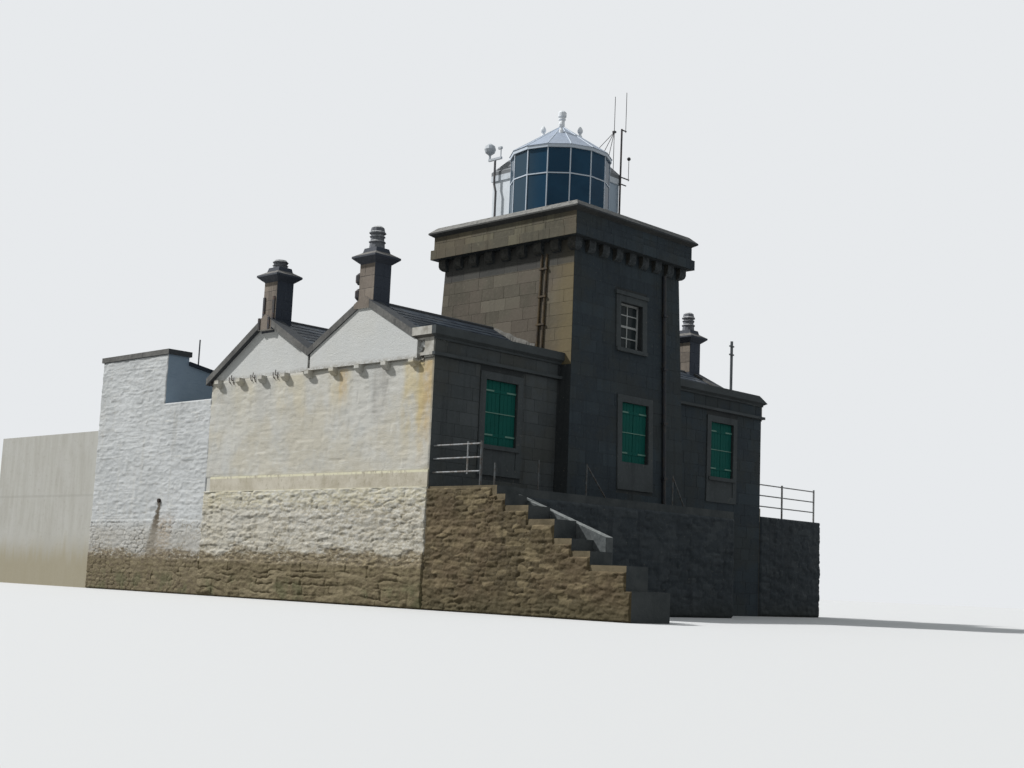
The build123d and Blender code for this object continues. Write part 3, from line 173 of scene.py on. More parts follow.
class Face:
    """A flat wall face: a point on it, its horizontal direction, its up direction and its outward normal."""

    def __init__(self, origin, across, up=(0, 0, 1)):
        self.origin = Vector(origin)
        self.across = Vector(across).normalized()
        self.up = Vector(up).normalized()
        self.out = self.across.cross(self.up)

    def at(self, u, v, depth):
        return self.origin + self.across * u + self.up * v + self.out * depth


def wall_faces(x0, x1, y0, y1, batter=0.0):
    """The four sides of a square plan, each with its width at the foot. They lean inwards by the batter."""
    return {
        "front": (Face((x0, y0, 0), (1, 0, 0), (0, batter, 1)), x1 - x0),
        "rear": (Face((x1, y1, 0), (-1, 0, 0), (0, -batter, 1)), x1 - x0),
        "left": (Face((x0, y1, 0), (0, -1, 0), (batter, 0, 1)), y1 - y0),
        "right": (Face((x1, y0, 0), (0, 1, 0), (-batter, 0, 1)), y1 - y0),
    }


def ashlar(pile, face, left, right, bottom, top, course, length, depth, bevel,
           holes=(), joint=JOINT, lean=0.0):
    """Coursed squared stones over a face, left open at the holes. Its side edges lean inwards."""
    rows = max(1, round((top - bottom) / course))
    height = (top - bottom) / rows
    for row in range(rows):
        levels = bottom + row * height, bottom + (row + 1) * height
        middle = sum(levels) / 2
        start, end = left + lean * middle, right - lean * middle
        u = start
        while u < end - 0.05:
            size = length * rng.uniform(0.64, 1.36)
            if u == start:
                size *= 0.55 + 0.45 * (row % 2)
            u_next = end if end - (u + size) < 0.4 * length else u + size
            spans = [(u, u_next)]
            for a, b, foot, head in holes:
                if foot < middle < head:
                    parts = [part for s0, s1 in spans for part in ((s0, min(s1, a)), (max(s0, b), s1))]
                    spans = [part for part in parts if part[1] - part[0] > 0.03]
            for a, b in spans:
                lefts = [left + lean * v if a == start else a for v in levels]
                rights = [right - lean * v if b == end else b for v in levels]
                stone(pile, face, lefts, rights, levels, depth * rng.uniform(0.6, 1.0), bevel, joint)
            u = u_next


def stone(pile, face, lefts, rights, levels, depth, bevel, joint):
    """One squared stone with a bevelled edge round its face."""
    verts = []
    for inset, out in ((joint / 2, 0), (joint / 2, depth * 0.55), (joint / 2 + bevel, depth)):
        foot, head = levels[0] + inset, levels[1] - inset
        verts += [face.at(lefts[0] + inset, foot, out), face.at(rights[0] - inset, foot, out),
                  face.at(rights[1] - inset, head, out), face.at(lefts[1] + inset, head, out)]
    faces = [(8, 9, 10, 11)]
    for i in range(4):
        k = (i + 1) % 4
        faces.append((i, k, 4 + k, 4 + i))
        faces.append((4 + i, 4 + k, 8 + k, 8 + i))
    pile.add(verts, faces, rng.random())


# Patterns of masonry

class Pattern:
    """Stones over a wall. The sample method of each kind says how far each point is inside its stone,
    how proud that stone is, its tilt there and its shade."""

    def noise(self, u, v, scale, turn):
        """Smooth random values between -1 and 1 over the wall."""
        lattice = np.roll(self.lattice, 7 * turn, axis=turn % 2)
        a, b = u * scale + 3.7 * turn, v * scale + 1.3 * turn
        i, j = np.floor(a).astype(int), np.floor(b).astype(int)
        fa, fb = a - i, b - j
        fa, fb = fa * fa * (3 - 2 * fa), fb * fb * (3 - 2 * fb)
        i0, j0, i1, j1 = i % 64, j % 64, (i + 1) % 64, (j + 1) % 64
        near = lattice[i0, j0] * (1 - fa) + lattice[i1, j0] * fa
        far = lattice[i0, j1] * (1 - fa) + lattice[i1, j1] * fa
        return near * (1 - fb) + far * fb


class Masonry(Pattern):
    """Wandering rows, each cut into stones of its own lengths."""

    def __init__(self, seed, width, height, row, length, corner, wander, tilt=0.2):
        draw = np.random.default_rng(seed).uniform
        self.corner = corner
        self.wander = wander
        levels = [0.0]
        while levels[-1] < height:
            levels.append(levels[-1] + draw(*row))
        self.levels = np.array(levels)
        self.rows = []
        for _ in levels:
            edges = [-draw(0, length[1])]
            while edges[-1] < width + length[1]:
                edges.append(edges[-1] + draw(*length))
            count = len(edges)
            self.rows.append((np.array(edges), draw(0.25, 1.0, count), draw(0, 1, count),
                              draw(-tilt, tilt, count), draw(-tilt, tilt, count)))
        self.lattice = draw(-1, 1, (64, 64))

    def sample(self, u, v):
        uu = u + self.wander * self.noise(u, v, 3.1, 1) + 0.4 * self.wander * self.noise(u, v, 9.0, 2)
        vv = v + 1.4 * self.wander * self.noise(u, v, 1.3, 3) + 0.6 * self.wander * self.noise(u, v, 6.0, 4)
        row = np.clip(np.searchsorted(self.levels, vv) - 1, 0, len(self.levels) - 2)
        inside, proud, lean, shade = (np.zeros_like(u) for _ in range(4))
        for index in np.unique(row):
            pick = row == index
            edges, prouds, shades, tilt_u, tilt_v = self.rows[index]
            k = np.clip(np.searchsorted(edges, uu[pick]) - 1, 0, len(edges) - 2)
            half_u = (edges[k + 1] - edges[k]) / 2
            half_v = (self.levels[index + 1] - self.levels[index]) / 2
            x = uu[pick] - edges[k] - half_u
            y = vv[pick] - self.levels[index] - half_v
            r = np.minimum(self.corner, 0.8 * np.minimum(half_u, half_v))
            qx, qy = np.abs(x) - half_u + r, np.abs(y) - half_v + r
            outside = np.hypot(np.maximum(qx, 0), np.maximum(qy, 0))
            inside[pick] = -(outside + np.minimum(np.maximum(qx, qy), 0) - r)
            proud[pick] = prouds[k]
            lean[pick] = tilt_u[k] * x / half_u + tilt_v[k] * y / half_v
            shade[pick] = shades[k]
        return inside, proud, lean, shade


class Rubble(Pattern):
    """Flat stones of unequal size around scattered centres."""

    def __init__(self, seed, length, height, tilt=0.5, wander=0.03):
        draw = np.random.default_rng(seed).uniform
        self.length = length
        self.height = height
        self.tilt = tilt
        self.wander = wander
        self.table = draw(0, 1, (7, 64, 64))
        self.lattice = draw(-1, 1, (64, 64))

    def sample(self, u, v):
        a = (u + self.wander * self.noise(u, v, 5.0, 1)) / self.length
        rise = self.wander * self.noise(u, v, 1.1, 2) + 0.4 * self.wander * self.noise(u, v, 6.0, 3)
        b = (v + rise) / self.height
        column, row = np.floor(a).astype(int), np.floor(b).astype(int)
        nearest, second = np.full(u.shape, 9.0), np.full(u.shape, 9.0)
        proud, lean, shade = (np.zeros_like(u) for _ in range(3))
        for dj in (-1, 0, 1):
            for di in (-2, -1, 0, 1, 2):
                i, j = column + di, row + dj
                pick = self.table[:, i % 64, j % 64]
                x = a - (i + 0.5 * (j % 2) + 0.5 + 0.8 * (pick[0] - 0.5))
                y = b - (j + 0.5 + 0.45 * (pick[1] - 0.5))
                reach = np.maximum(np.abs(x), np.abs(y)) * 0.7 + np.hypot(x, y) * 0.3 - 0.34 * pick[2]
                tilt = 2 * self.tilt * ((pick[5] - 0.5) * x + (pick[6] - 0.3) * 2 * y)
                closer = reach < nearest
                second = np.where(closer, nearest, np.minimum(second, reach))
                nearest = np.where(closer, reach, nearest)
                proud = np.where(closer, 0.15 + 0.85 * pick[3], proud)
                shade = np.where(closer, pick[4], shade)
                lean = np.where(closer, tilt, lean)
        return (second - nearest) * 0.8 * self.height, proud, lean, shade


class Footed(Pattern):
    """A pattern that stands on a footing of broader and prouder stones with a ragged top."""

    def __init__(self, upper, lower, level, rag=0.10, step=0.9):
        self.upper = upper
        self.lower = lower
        self.level = level
        self.rag = rag
        self.step = step
        self.lattice = upper.lattice

    def sample(self, u, v):
        top = self.level + self.rag * self.noise(u, np.zeros_like(v), 1.1, 8)
        below = v < top
        pairs = zip(self.upper.sample(u, v), self.lower.sample(u, v))
        inside, proud, lean, shade = (np.where(below, b, a) for a, b in pairs)
        return np.minimum(inside, np.abs(v - top)), proud + self.step * below, lean, shade


def relief(name, material, form, *walls, base=0.0, fill=0.62):
    """A finely divided skin over parts of walls whose height follows a masonry pattern.
    The form is the skin's step, depth, joint width and roughness. Each wall is a face, its pattern, and
    the (left, right, bottom, top) patches that it covers. The skin fades out at their free edges."""
    step, depth, edge, rough = form
    all_verts, all_faces, shades, joints = [], [], [], []
    start = 0
    for face, pattern, patches in walls:
        for left, right, bottom, top in patches:
            columns = max(2, round((right - left) / step) + 1)
            rows = max(2, round((top - bottom) / step) + 1)
            u, v = np.meshgrid(np.linspace(left, right, columns), np.linspace(bottom, top, rows))
            inside, proud, lean, shade = pattern.sample(u, v)
            swell = np.clip(inside / edge, 0, 1)
            swell = swell * swell * (3 - 2 * swell)
            # Mortar and paint fill some of the joints, so that a stone may meet the next one in a step.
            filled = np.clip(fill + 1.4 * pattern.noise(u, v, 2.1, 7), 0, 1)
            swell = filled + (1 - filled) * swell
            ridge = 1 - np.abs(pattern.noise(0.45 * u, v, 7.0, 5)) * 2
            fine = 1 + pattern.noise(0.45 * u, v, 14.0, 6) + 0.6 * (1 + pattern.noise(0.6 * u, v, 33.0, 9))
            height = depth * swell * (proud + 0.4 * lean) + base + rough * (0.8 + ridge + fine)
            border = np.full(u.shape, 1.0)
            for x, y, gap in ((left - 0.01, v, u - left), (right + 0.01, v, right - u),
                              (u, bottom - 0.01, v - bottom), (u, top + 0.01, top - v)):
                covered = np.zeros(u.shape, bool)
                for a, b, c, d in patches:
                    covered |= (x > a) & (x < b) & (y > c) & (y < d)
                border = np.where(covered, border, np.minimum(border, gap))
            height = np.maximum(height, 0.001) * np.clip(border / 0.015, 0, 1)
            points = np.array(face.origin)
            for amount, direction in ((u, face.across), (v, face.up), (height, face.out)):
                points = points + amount[..., None] * np.array(direction)
            all_verts.append(points.reshape(-1, 3))
            shades.append(shade.ravel())
            joints.append(((1 - np.clip(inside / (0.7 * edge), 0, 1)) * (1 - 0.8 * filled)).ravel())
            index = start + np.arange(rows * columns).reshape(rows, columns)
            quads = np.stack([index[:-1, :-1], index[:-1, 1:], index[1:, 1:], index[1:, :-1]], axis=-1)
            all_faces.append(quads.reshape(-1, 4))
            start += rows * columns
    mesh_piece(name, np.concatenate(all_verts).tolist(), np.concatenate(all_faces).tolist(), material,
               {"shade": np.concatenate(shades), "joint": np.concatenate(joints)}, smooth=True)


# Material helpers

class Shader:
    """Builds a node material step by step. The colour so far is covered layer by layer with lay."""

    def __init__(self, name, roughness=0.85):
        self.material = bpy.data.materials.new(name)
        self.material.use_nodes = True
        self.tree = self.material.node_tree
        self.surface = self.tree.nodes["Principled BSDF"]
        self.surface.inputs["Roughness"].default_value = roughness
        self.surface.inputs["Specular IOR Level"].default_value = 0.25
        self.place = self.node("ShaderNodeTexCoord").outputs["Object"]
        parts = self.node("ShaderNodeSeparateXYZ")
        self.link(self.place, parts.inputs[0])
        self.x, self.y, self.z = parts.outputs
        self.colour = None

    def node(self, kind):
        return self.tree.nodes.new(kind)

    def link(self, source, target):
        self.tree.links.new(source, target)

    def put(self, socket, value):
        if isinstance(value, (int, float)):
            socket.default_value = value
        elif isinstance(value, tuple):
            socket.default_value = (*value, 1.0)
        else:
            self.link(value, socket)

    def math(self, operation, a, b=0.0):
        node = self.node("ShaderNodeMath")
        node.operation = operation
        self.put(node.inputs[0], a)
        self.put(node.inputs[1], b)
        return node.outputs[0]

    def minus(self, a, b):
        return self.math("SUBTRACT", a, b)

    def plus(self, a, b, share):
        """The first value and a share of the second."""
        return self.math("ADD", a, self.math("MULTIPLY", b, share))

    def times(self, *values):
        result = values[0]
        for value in values[1:]:
            result = self.math("MULTIPLY", result, value)
        return result

    def noise(self, scale, detail=6, roughness=0.7, stretch=(1, 1, 1), offset=(0, 0, 0)):
        mapping = self.node("ShaderNodeMapping")
        self.link(self.place, mapping.inputs["Vector"])
        mapping.inputs["Scale"].default_value = stretch
        mapping.inputs["Location"].default_value = offset
        node = self.node("ShaderNodeTexNoise")
        node.inputs["Scale"].default_value = scale
        node.inputs["Detail"].default_value = detail
        node.inputs["Roughness"].default_value = roughness
        self.link(mapping.outputs[0], node.inputs["Vector"])
        return node.outputs["Fac"]

    def ramp(self, value, start, end):
        node = self.node("ShaderNodeMapRange")
        node.interpolation_type = "SMOOTHSTEP"
        self.put(node.inputs["Value"], value)
        node.inputs["From Min"].default_value = start
        node.inputs["From Max"].default_value = end
        return node.outputs["Result"]

    def cloud(self, start, end, *noise, **form):
        """Soft patches: a noise that rises from nought to one between two of its values."""
        return self.ramp(self.noise(*noise, **form), start, end)

    def band(self, value, low, high, soft_low, soft_high):
        """One between low and high, falling to nought over the soft edges."""
        rise = self.ramp(value, low - soft_low, low)
        fall = self.ramp(value, high, high + soft_high)
        return self.times(rise, self.minus(1.0, fall))

    def mix(self, factor, a, b):
        node = self.node("ShaderNodeMix")
        node.data_type = "RGBA"
        self.put(node.inputs[0], factor)
        self.put(node.inputs[6], a)
        self.put(node.inputs[7], b)
        return node.outputs[2]

    def lay(self, tone, *masks):
        """Covers the colour so far with a tone where all the masks let it through."""
        self.colour = self.mix(self.times(*masks), self.colour, tone)

    def stored(self, name, start=None, end=None):
        """A value that is stored on the mesh, or a ramp over it."""
        node = self.node("ShaderNodeAttribute")
        node.attribute_name = name
        return node.outputs["Fac"] if start is None else self.ramp(node.outputs["Fac"], start, end)

    def facing(self):
        """The three components of the direction that the surface faces."""
        parts = self.node("ShaderNodeSeparateXYZ")
        self.link(self.node("ShaderNodeNewGeometry").outputs["Normal"], parts.inputs[0])
        return parts.outputs

    def upward(self):
        """One where the surface faces up, nought where it faces sideways or down."""
        return self.ramp(self.facing()[2], 0.2, 0.6)

    def finish(self, bump=None, strength=0.5, distance=0.02):
        self.put(self.surface.inputs["Base Color"], self.colour)
        if bump is not None:
            node = self.node("ShaderNodeBump")
            node.inputs["Strength"].default_value = strength
            node.inputs["Distance"].default_value = distance
            self.link(bump, node.inputs["Height"])
            self.link(node.outputs[0], self.surface.inputs["Normal"])
        return self.material


# Stone

def stone_material(name, dark, middle, pale, streak, stones=0.5, lichen=0.2, strength=0.5,
                   top=None, foot=None, joint=None, corner=None, blush=None, parapet_shadow=None,
                   front=None, off_gable_shade=None, under=None):
    """Weathered stone: each stone has its own shade, with blotches, upright streaks and grain."""
    s = Shader(name)
    blotch = s.noise(0.9, 5, 0.6)
    fine = s.noise(9)
    s.colour = s.mix(s.ramp(blotch, 0.3, 0.7), dark, middle)
    if stones:
        s.lay(pale, s.stored("shade", 0.55, 1.0), stones)
        s.lay(dark, s.stored("shade", 0.4, 0.0), stones)
    s.lay(pale, s.ramp(fine, 0.45, 0.75), 0.4)
    s.lay(streak, s.cloud(0.50, 0.70, 1.6, 5, 0.6, (2.2, 2.2, 0.12), (3, 1, 0)), 0.55)
    s.lay((0.40, 0.37, 0.27), s.cloud(0.64, 0.72, 16, 3, 0.6, offset=(0, 5, 2)), lichen)
    if joint:
        s.lay(joint, s.stored("joint"), 0.75)
    # Faces that look up take a paler tone: partly weathering of the tops, partly painted light from above.
    if top:
        s.lay(top, s.upward(), s.ramp(fine, 0.3, 0.55))
    if blush:
        s.lay(blush, s.cloud(0.44, 0.60, 0.7, 6, 0.65, offset=(8, 2, 6)), 0.40)
    if corner:
        s.lay(corner, s.ramp(s.plus(s.y, blotch, 1.5), TOWER_Y0 + 2.1, TOWER_Y0 + 1.1), 0.8)
    # Faces that look to the front take the front tone: a painted shade of the faces turned from the sun.
    if front:
        s.lay(front, s.ramp(s.facing()[1], -0.4, -0.8), 0.75)
    # Faces that look down take the under tone; on the chimney feet it is pale, a painted light that hides the
    # shade of their undersides.
    if under:
        s.lay(under, s.ramp(s.facing()[2], -0.5, -0.8))
    if off_gable_shade:
        # Only the faces that look outwards over the gables keep their tone; the others take a dark blue-grey,
        # a painted shade.
        s.lay(off_gable_shade, s.ramp(s.math("ABSOLUTE", s.facing()[0]), 0.6, 0.3), 0.8)
    # A painted shadow darkens the band of wall below the parapet's overhang.
    if parapet_shadow:
        s.lay(parapet_shadow, s.ramp(s.z, PARAPET_LOW.z - 0.73, PARAPET_LOW.z - 0.68), 0.65)
    if foot:
        level, tone = foot
        s.lay(tone, s.ramp(s.plus(s.z, blotch, 0.8), level + 0.8, level), 0.8)
    return s.finish(fine, strength)


# TOWER_TONES colour the sunlit left and rear faces. FRONT_TONES and SHADE_TONES are darker, bluer copies for
# faces turned from the sun: FRONT_TONES partly the front's own darker stone and partly painted shade,
# SHADE_TONES painted shade of the tower's front and right, the parapet's front and right and the right wing.
TOWER_TONES = ((0.074, 0.065, 0.047), (0.100, 0.089, 0.066), (0.142, 0.126, 0.095), (0.048, 0.043, 0.032))
FRONT_TONES = ((0.049, 0.056, 0.058), (0.064, 0.073, 0.076), (0.090, 0.100, 0.104), (0.030, 0.035, 0.038))
SHADE_TONES = ((0.021, 0.029, 0.036), (0.028, 0.039, 0.047), (0.042, 0.057, 0.067), (0.012, 0.018, 0.024))
# Tone of a painted shadow: the band of the tower wall that the parapet shades.
PARAPET_SHADOW_TONE = (0.030, 0.034, 0.037)
TOWER_STONE = stone_material(
    "tower_ashlar", *TOWER_TONES, stones=0.85, corner=(0.150, 0.118, 0.060),
    blush=(0.120, 0.093, 0.074), parapet_shadow=PARAPET_SHADOW_TONE)
FRONT_STONE = stone_material("front_ashlar", *FRONT_TONES, lichen=0.1, blush=(0.060, 0.058, 0.046))
SHADE_STONE = stone_material("shade_ashlar", *SHADE_TONES, lichen=0.1, blush=(0.035, 0.037, 0.031))
MOULDING = stone_material("moulded_stone", *FRONT_TONES, stones=0, top=(0.15, 0.14, 0.12))
PARAPET_STONE = stone_material(
    "parapet_ashlar", (0.076, 0.068, 0.048), (0.102, 0.092, 0.066), (0.150, 0.135, 0.088),
    (0.046, 0.042, 0.030), stones=0.8, blush=(0.118, 0.090, 0.058))
# Mortar of the faces turned from the sun, dark blue-grey: a painted shade. TOWER_JOINT is its sunlit copy.
SHADED_JOINT = stone_material(
    "shaded_joint_mortar", (0.024, 0.028, 0.030), (0.034, 0.038, 0.039), (0.048, 0.052, 0.052),
    (0.016, 0.019, 0.021), stones=0)
# Mortar of the sunlit tower faces. It darkens with a painted shadow below the parapet, and its foot below the
# roofs turns dark blue-grey, a painted shade.
TOWER_JOINT = stone_material(
    "tower_mortar", (0.070, 0.060, 0.046), (0.092, 0.080, 0.062), (0.120, 0.105, 0.082),
    (0.040, 0.035, 0.026), stones=0, foot=(5.7, (0.026, 0.030, 0.032)), parapet_shadow=PARAPET_SHADOW_TONE)
COPING_STONE = stone_material(
    "coping_stone", (0.044, 0.045, 0.043), (0.062, 0.062, 0.058), (0.10, 0.097, 0.090), (0.030, 0.031, 0.030),
    stones=0, top=(0.20, 0.195, 0.18), front=(0.028, 0.034, 0.040))
DARK_COPING = stone_material(
    "dark_coping", (0.085, 0.083, 0.078), (0.15, 0.147, 0.138), (0.26, 0.25, 0.225), (0.045, 0.045, 0.045),
    stones=0, off_gable_shade=(0.040, 0.046, 0.054))
RUBBLE_STONE = stone_material(
    "brown_rubble", (0.056, 0.042, 0.020), (0.106, 0.082, 0.042), (0.205, 0.162, 0.090),
    (0.050, 0.038, 0.020), stones=0.8, foot=(0.3, (0.070, 0.058, 0.028)), strength=0.9,
    joint=(0.044, 0.034, 0.018), blush=(0.122, 0.084, 0.048))
# Rubble of the terrace's walls turned from the sun, dark blue-grey: a painted shade.
SHADE_RUBBLE = stone_material(
    "shade_rubble", (0.024, 0.031, 0.036), (0.036, 0.044, 0.050), (0.058, 0.066, 0.070),
    (0.015, 0.020, 0.024), foot=(0.3, (0.028, 0.032, 0.030)), strength=0.8, joint=(0.016, 0.020, 0.023))
RUBBLE_JOINT = stone_material(
    "rubble_mortar", (0.075, 0.065, 0.048), (0.105, 0.091, 0.067), (0.14, 0.122, 0.092),
    (0.045, 0.039, 0.029), stones=0)
CHIMNEY_STONE = stone_material(
    "chimney_stone", (0.145, 0.122, 0.100), (0.200, 0.168, 0.138), (0.270, 0.228, 0.185),
    (0.085, 0.072, 0.060), front=(0.130, 0.155, 0.205), under=(0.50, 0.48, 0.44))
# The caps and the front and right sides of the shafts: dark blue-grey, a painted shade.
CHIMNEY_CAP_AND_SHADE = stone_material(
    "chimney_cap", (0.050, 0.056, 0.068), (0.074, 0.080, 0.094), (0.11, 0.112, 0.12), (0.030, 0.034, 0.042),
    stones=0, top=(0.17, 0.16, 0.145), front=(0.040, 0.050, 0.068))
POT_STONE = stone_material(
    "pot_stone", (0.105, 0.110, 0.122), (0.18, 0.188, 0.205), (0.38, 0.39, 0.40), (0.065, 0.066, 0.070),
    stones=0, top=(0.55, 0.55, 0.54))


def step_material():
    """Treads dark blue-grey, a painted shade of the faces turned from the sun, whose ends on the wall's face
    keep the colour of the wall.
    """
    s = Shader("step_stone")
    fine = s.noise(9)
    dark = s.mix(s.cloud(0.35, 0.65, 1.7, 5, 0.6), (0.036, 0.042, 0.044), (0.062, 0.068, 0.068))
    wall = s.mix(s.cloud(0.35, 0.65, 2.3), (0.085, 0.067, 0.038), (0.150, 0.120, 0.072))
    # All faces but the ends on the wall take the dark tone: a painted shade.
    s.colour = s.mix(s.ramp(s.facing()[0], -0.5, -0.8), dark, wall)
    # Paler where it faces up: partly weathering, partly painted light.
    s.lay((0.19, 0.175, 0.145), s.upward(), s.ramp(fine, 0.3, 0.55))
    return s.finish(fine, 0.6)


# White paint over the stone of the gables and the yard walls

# Rust runs below the ledge: place along the wall, half width, length, strength and colour.
RUST_RUNS = (
    (0.27, 0.17, 1.9, 0.90, (0.47, 0.345, 0.165)),
    (0.72, 0.26, 1.9, 0.75, (0.52, 0.43, 0.24)),
    (1.99, 0.20, 1.3, 0.55, (0.30, 0.285, 0.26)),
    (6.90, 0.30, 1.1, 0.40, (0.36, 0.345, 0.30)),
    (3.50, 0.11, 0.7, 0.85, (0.46, 0.30, 0.13)),
    (3.62, 0.30, 0.9, 0.60, (0.52, 0.44, 0.27)),
    (5.80, 0.45, 1.2, 0.40, (0.58, 0.50, 0.32)),
    (8.00, 0.40, 1.3, 0.30, (0.58, 0.51, 0.34)),
)


def drain_stain(s, grain):
    """The brown stain below the mouth of the drain in the yard wall."""
    below = s.minus(DRAIN_Z, s.z)
    centre = s.plus(DRAIN_Y, below, 0.20)
    aside = s.plus(s.minus(s.y, centre), s.minus(grain, 0.5), 0.5)
    spread = s.plus(0.07, s.math("MAXIMUM", below, 0.0), 0.20)
    stain = s.ramp(s.math("DIVIDE", s.math("ABSOLUTE", aside), spread), 1.2, 0.4)
    haze = s.times(s.band(aside, -0.75, 0.0, 0.35, 0.1), s.ramp(below, 0.2, 0.9))
    s.lay((0.31, 0.225, 0.145), haze, s.ramp(grain, 0.35, 0.6), 0.85)
    s.lay((0.080, 0.060, 0.036), stain, s.ramp(below, -0.03, 0.05), s.ramp(grain, 0.80, 0.58), 0.95)


def ledge_stains(s, fine, grain):
    """Rust runs and dirt below the ledge of the gable wall, and yellow algae below the band."""
    patch = s.cloud(0.28, 0.62, 2.0, 7, 0.65, (1, 1.0, 0.5), (2, 0, 3))
    for place, width, drop, strength, tone in RUST_RUNS:
        across = s.band(s.y, FRONT_Y + place - width, FRONT_Y + place + width, width, width)
        s.lay(tone, across, s.band(s.z, LEDGE - 0.6 * drop, LEDGE - 0.12, drop, 0.1), patch, strength)
    s.lay((0.575, 0.585, 0.575), s.ramp(s.z, LEDGE - 0.02, LEDGE + 0.02), 0.7)
    ledge = s.band(s.z, LEDGE - 0.01, LEDGE + 0.02, 0.05, 0.12)
    s.lay((0.25, 0.225, 0.18), ledge, s.ramp(fine, 0.38, 0.58), 0.55)
    corner = s.times(s.band(s.y, FRONT_Y + 0.35, FRONT_Y + 0.50, 0.04, 0.10),
                     s.band(s.z, LEDGE - 0.1, LEDGE + 0.40, 0.2, 0.2))
    s.lay((0.055, 0.048, 0.034), corner, s.ramp(grain, 0.56, 0.46), 0.95)
    algae = s.band(s.z, BAND_BOTTOM - 0.25, BAND_BOTTOM, 0.5, 0.03)
    s.lay((0.50, 0.44, 0.26), algae, s.ramp(grain, 0.35, 0.6), 0.50)
    s.lay((0.47, 0.44, 0.375), s.ramp(s.z, BAND_BOTTOM, BAND_BOTTOM - 0.8), 0.45)


def white_paint(name, white, worn, bare, yard=False):
    """Thick white paint over stone, worn to brown near the ground and streaked with rust and green."""
    s = Shader(name)
    fine = s.noise(12)
    grain = s.noise(5, 6, 0.75, (1, 1, 2.5), (3, 8, 2))
    specks = s.noise(9, 6, 0.8, (1, 1, 1.4), (5, 5, 9))
    dashes = s.noise(4.0, 6, 0.75, (1, 0.35, 3.0), (2, 7, 4))
    s.colour = s.mix(s.cloud(0.35, 0.7, 0.8, 6, 0.65), white, worn)
    s.lay((0.35, 0.335, 0.30), s.cloud(0.54, 0.72, 1.4, 7, 0.75, (1, 1, 1.6), (7, 3, 1)), 0.50)
    if not yard:
        s.lay((0.50, 0.455, 0.35), s.cloud(0.45, 0.62, 0.55, 5, 0.6, offset=(0, 4, 6)), 0.55)
    s.lay((0.42, 0.435, 0.43), s.cloud(0.50, 0.66, 0.9, offset=(9, 2, 1)), 0.35)
    for source, start, end, amount, tone in (
            (specks, 0.60, 0.68, 0.45, (0.24, 0.225, 0.19)),
            (specks, 0.40, 0.32, 0.45, (0.64, 0.63, 0.585)),
            (grain, 0.58, 0.72, 0.35, (0.40, 0.38, 0.33)),
            (dashes, 0.56, 0.66, 0.40, (0.31, 0.29, 0.245)),
            (dashes, 0.43, 0.35, 0.45, (0.64, 0.63, 0.58))):
        s.lay(tone, s.ramp(source, start, end), amount)
    s.lay((0.42, 0.38, 0.29), s.cloud(0.54, 0.74, 1.5, 4, 0.6, (2.4, 2.4, 0.16), (1, 9, 0)), 0.22)
    near = s.times(s.ramp(s.y, FRONT_Y + 5.0, FRONT_Y + 1.0), 0.18)
    dirt = s.ramp(s.math("ADD", s.noise(0.9, offset=(3, 9, 5)), near), 0.42, 0.56)
    dirt_low, dirt_high = (2.05, 2.30) if yard else (2.60, BAND_BOTTOM)
    s.lay((0.24, 0.20, 0.13), s.ramp(specks, 0.50, 0.60), s.ramp(s.z, dirt_high, dirt_low), dirt, 0.85)
    if yard:
        drain_stain(s, grain)
        s.lay((0.37, 0.34, 0.285), s.ramp(s.z, 2.3, 1.7), 0.55)
        # Faces that look to the front take a blue-grey: a painted shade.
        s.lay((0.15, 0.255, 0.38), s.ramp(s.facing()[1], -0.5, -0.9), 0.70)
    else:
        s.lay((0.30, 0.26, 0.175), s.ramp(grain, 0.48, 0.56), s.ramp(s.z, 2.9, 2.4), dirt, 0.75)
        ledge_stains(s, fine, grain)
    open_joint = s.times(s.stored("joint"), s.ramp(s.z, 3.0, 2.4), s.ramp(grain, 0.35, 0.55))
    s.lay((0.24, 0.205, 0.14), open_joint, 0.35 if yard else 0.75)
    # The paint has gone from the foot of the wall, in patches higher up.
    edge = s.plus(s.z, s.minus(s.noise(1.6, 7, 0.7, (1, 0.6, 1.6), (4, 4, 4)), 0.5), 1.3)
    edge = s.math("ADD", edge, 0.22 if yard else 0.12)
    patchy = s.times(s.ramp(edge, FOOTING + 0.55, FOOTING + 0.30), s.ramp(grain, 0.62, 0.54))
    dense = s.times(s.ramp(edge, FOOTING + 0.30, FOOTING + 0.10), s.ramp(grain, 0.70, 0.60))
    earth = s.mix(s.ramp(grain, 0.40, 0.60), bare, (0.255, 0.205, 0.120))
    s.lay(earth, s.math("MAXIMUM", patchy, dense), 0.92)
    foot = s.mix(s.ramp(grain, 0.35, 0.62), bare, (0.165, 0.135, 0.074))
    foot = s.mix(s.times(s.stored("shade", 0.55, 1.0), 0.6), foot, (0.23, 0.19, 0.115))
    green = s.times(s.cloud(0.50, 0.62, 1.1, 4, 0.6, offset=(6, 1, 8)), s.ramp(s.z, 0.75, 0.4), 0.6)
    foot = s.mix(green, foot, (0.085, 0.090, 0.040))
    s.lay(foot, s.ramp(s.z, FOOTING + 0.05, FOOTING - 0.12), 0.92)
    if not yard:
        # The end of the gable wall on the front is bare stone.
        s.lay(FRONT_TONES[0], s.ramp(s.y, FRONT_Y + 0.004, FRONT_Y + 0.001), s.ramp(s.z, 6.6, 6.55))
    return s.finish(s.plus(s.noise(26, 4, 0.75), grain, 1.2), 0.55, 0.016)


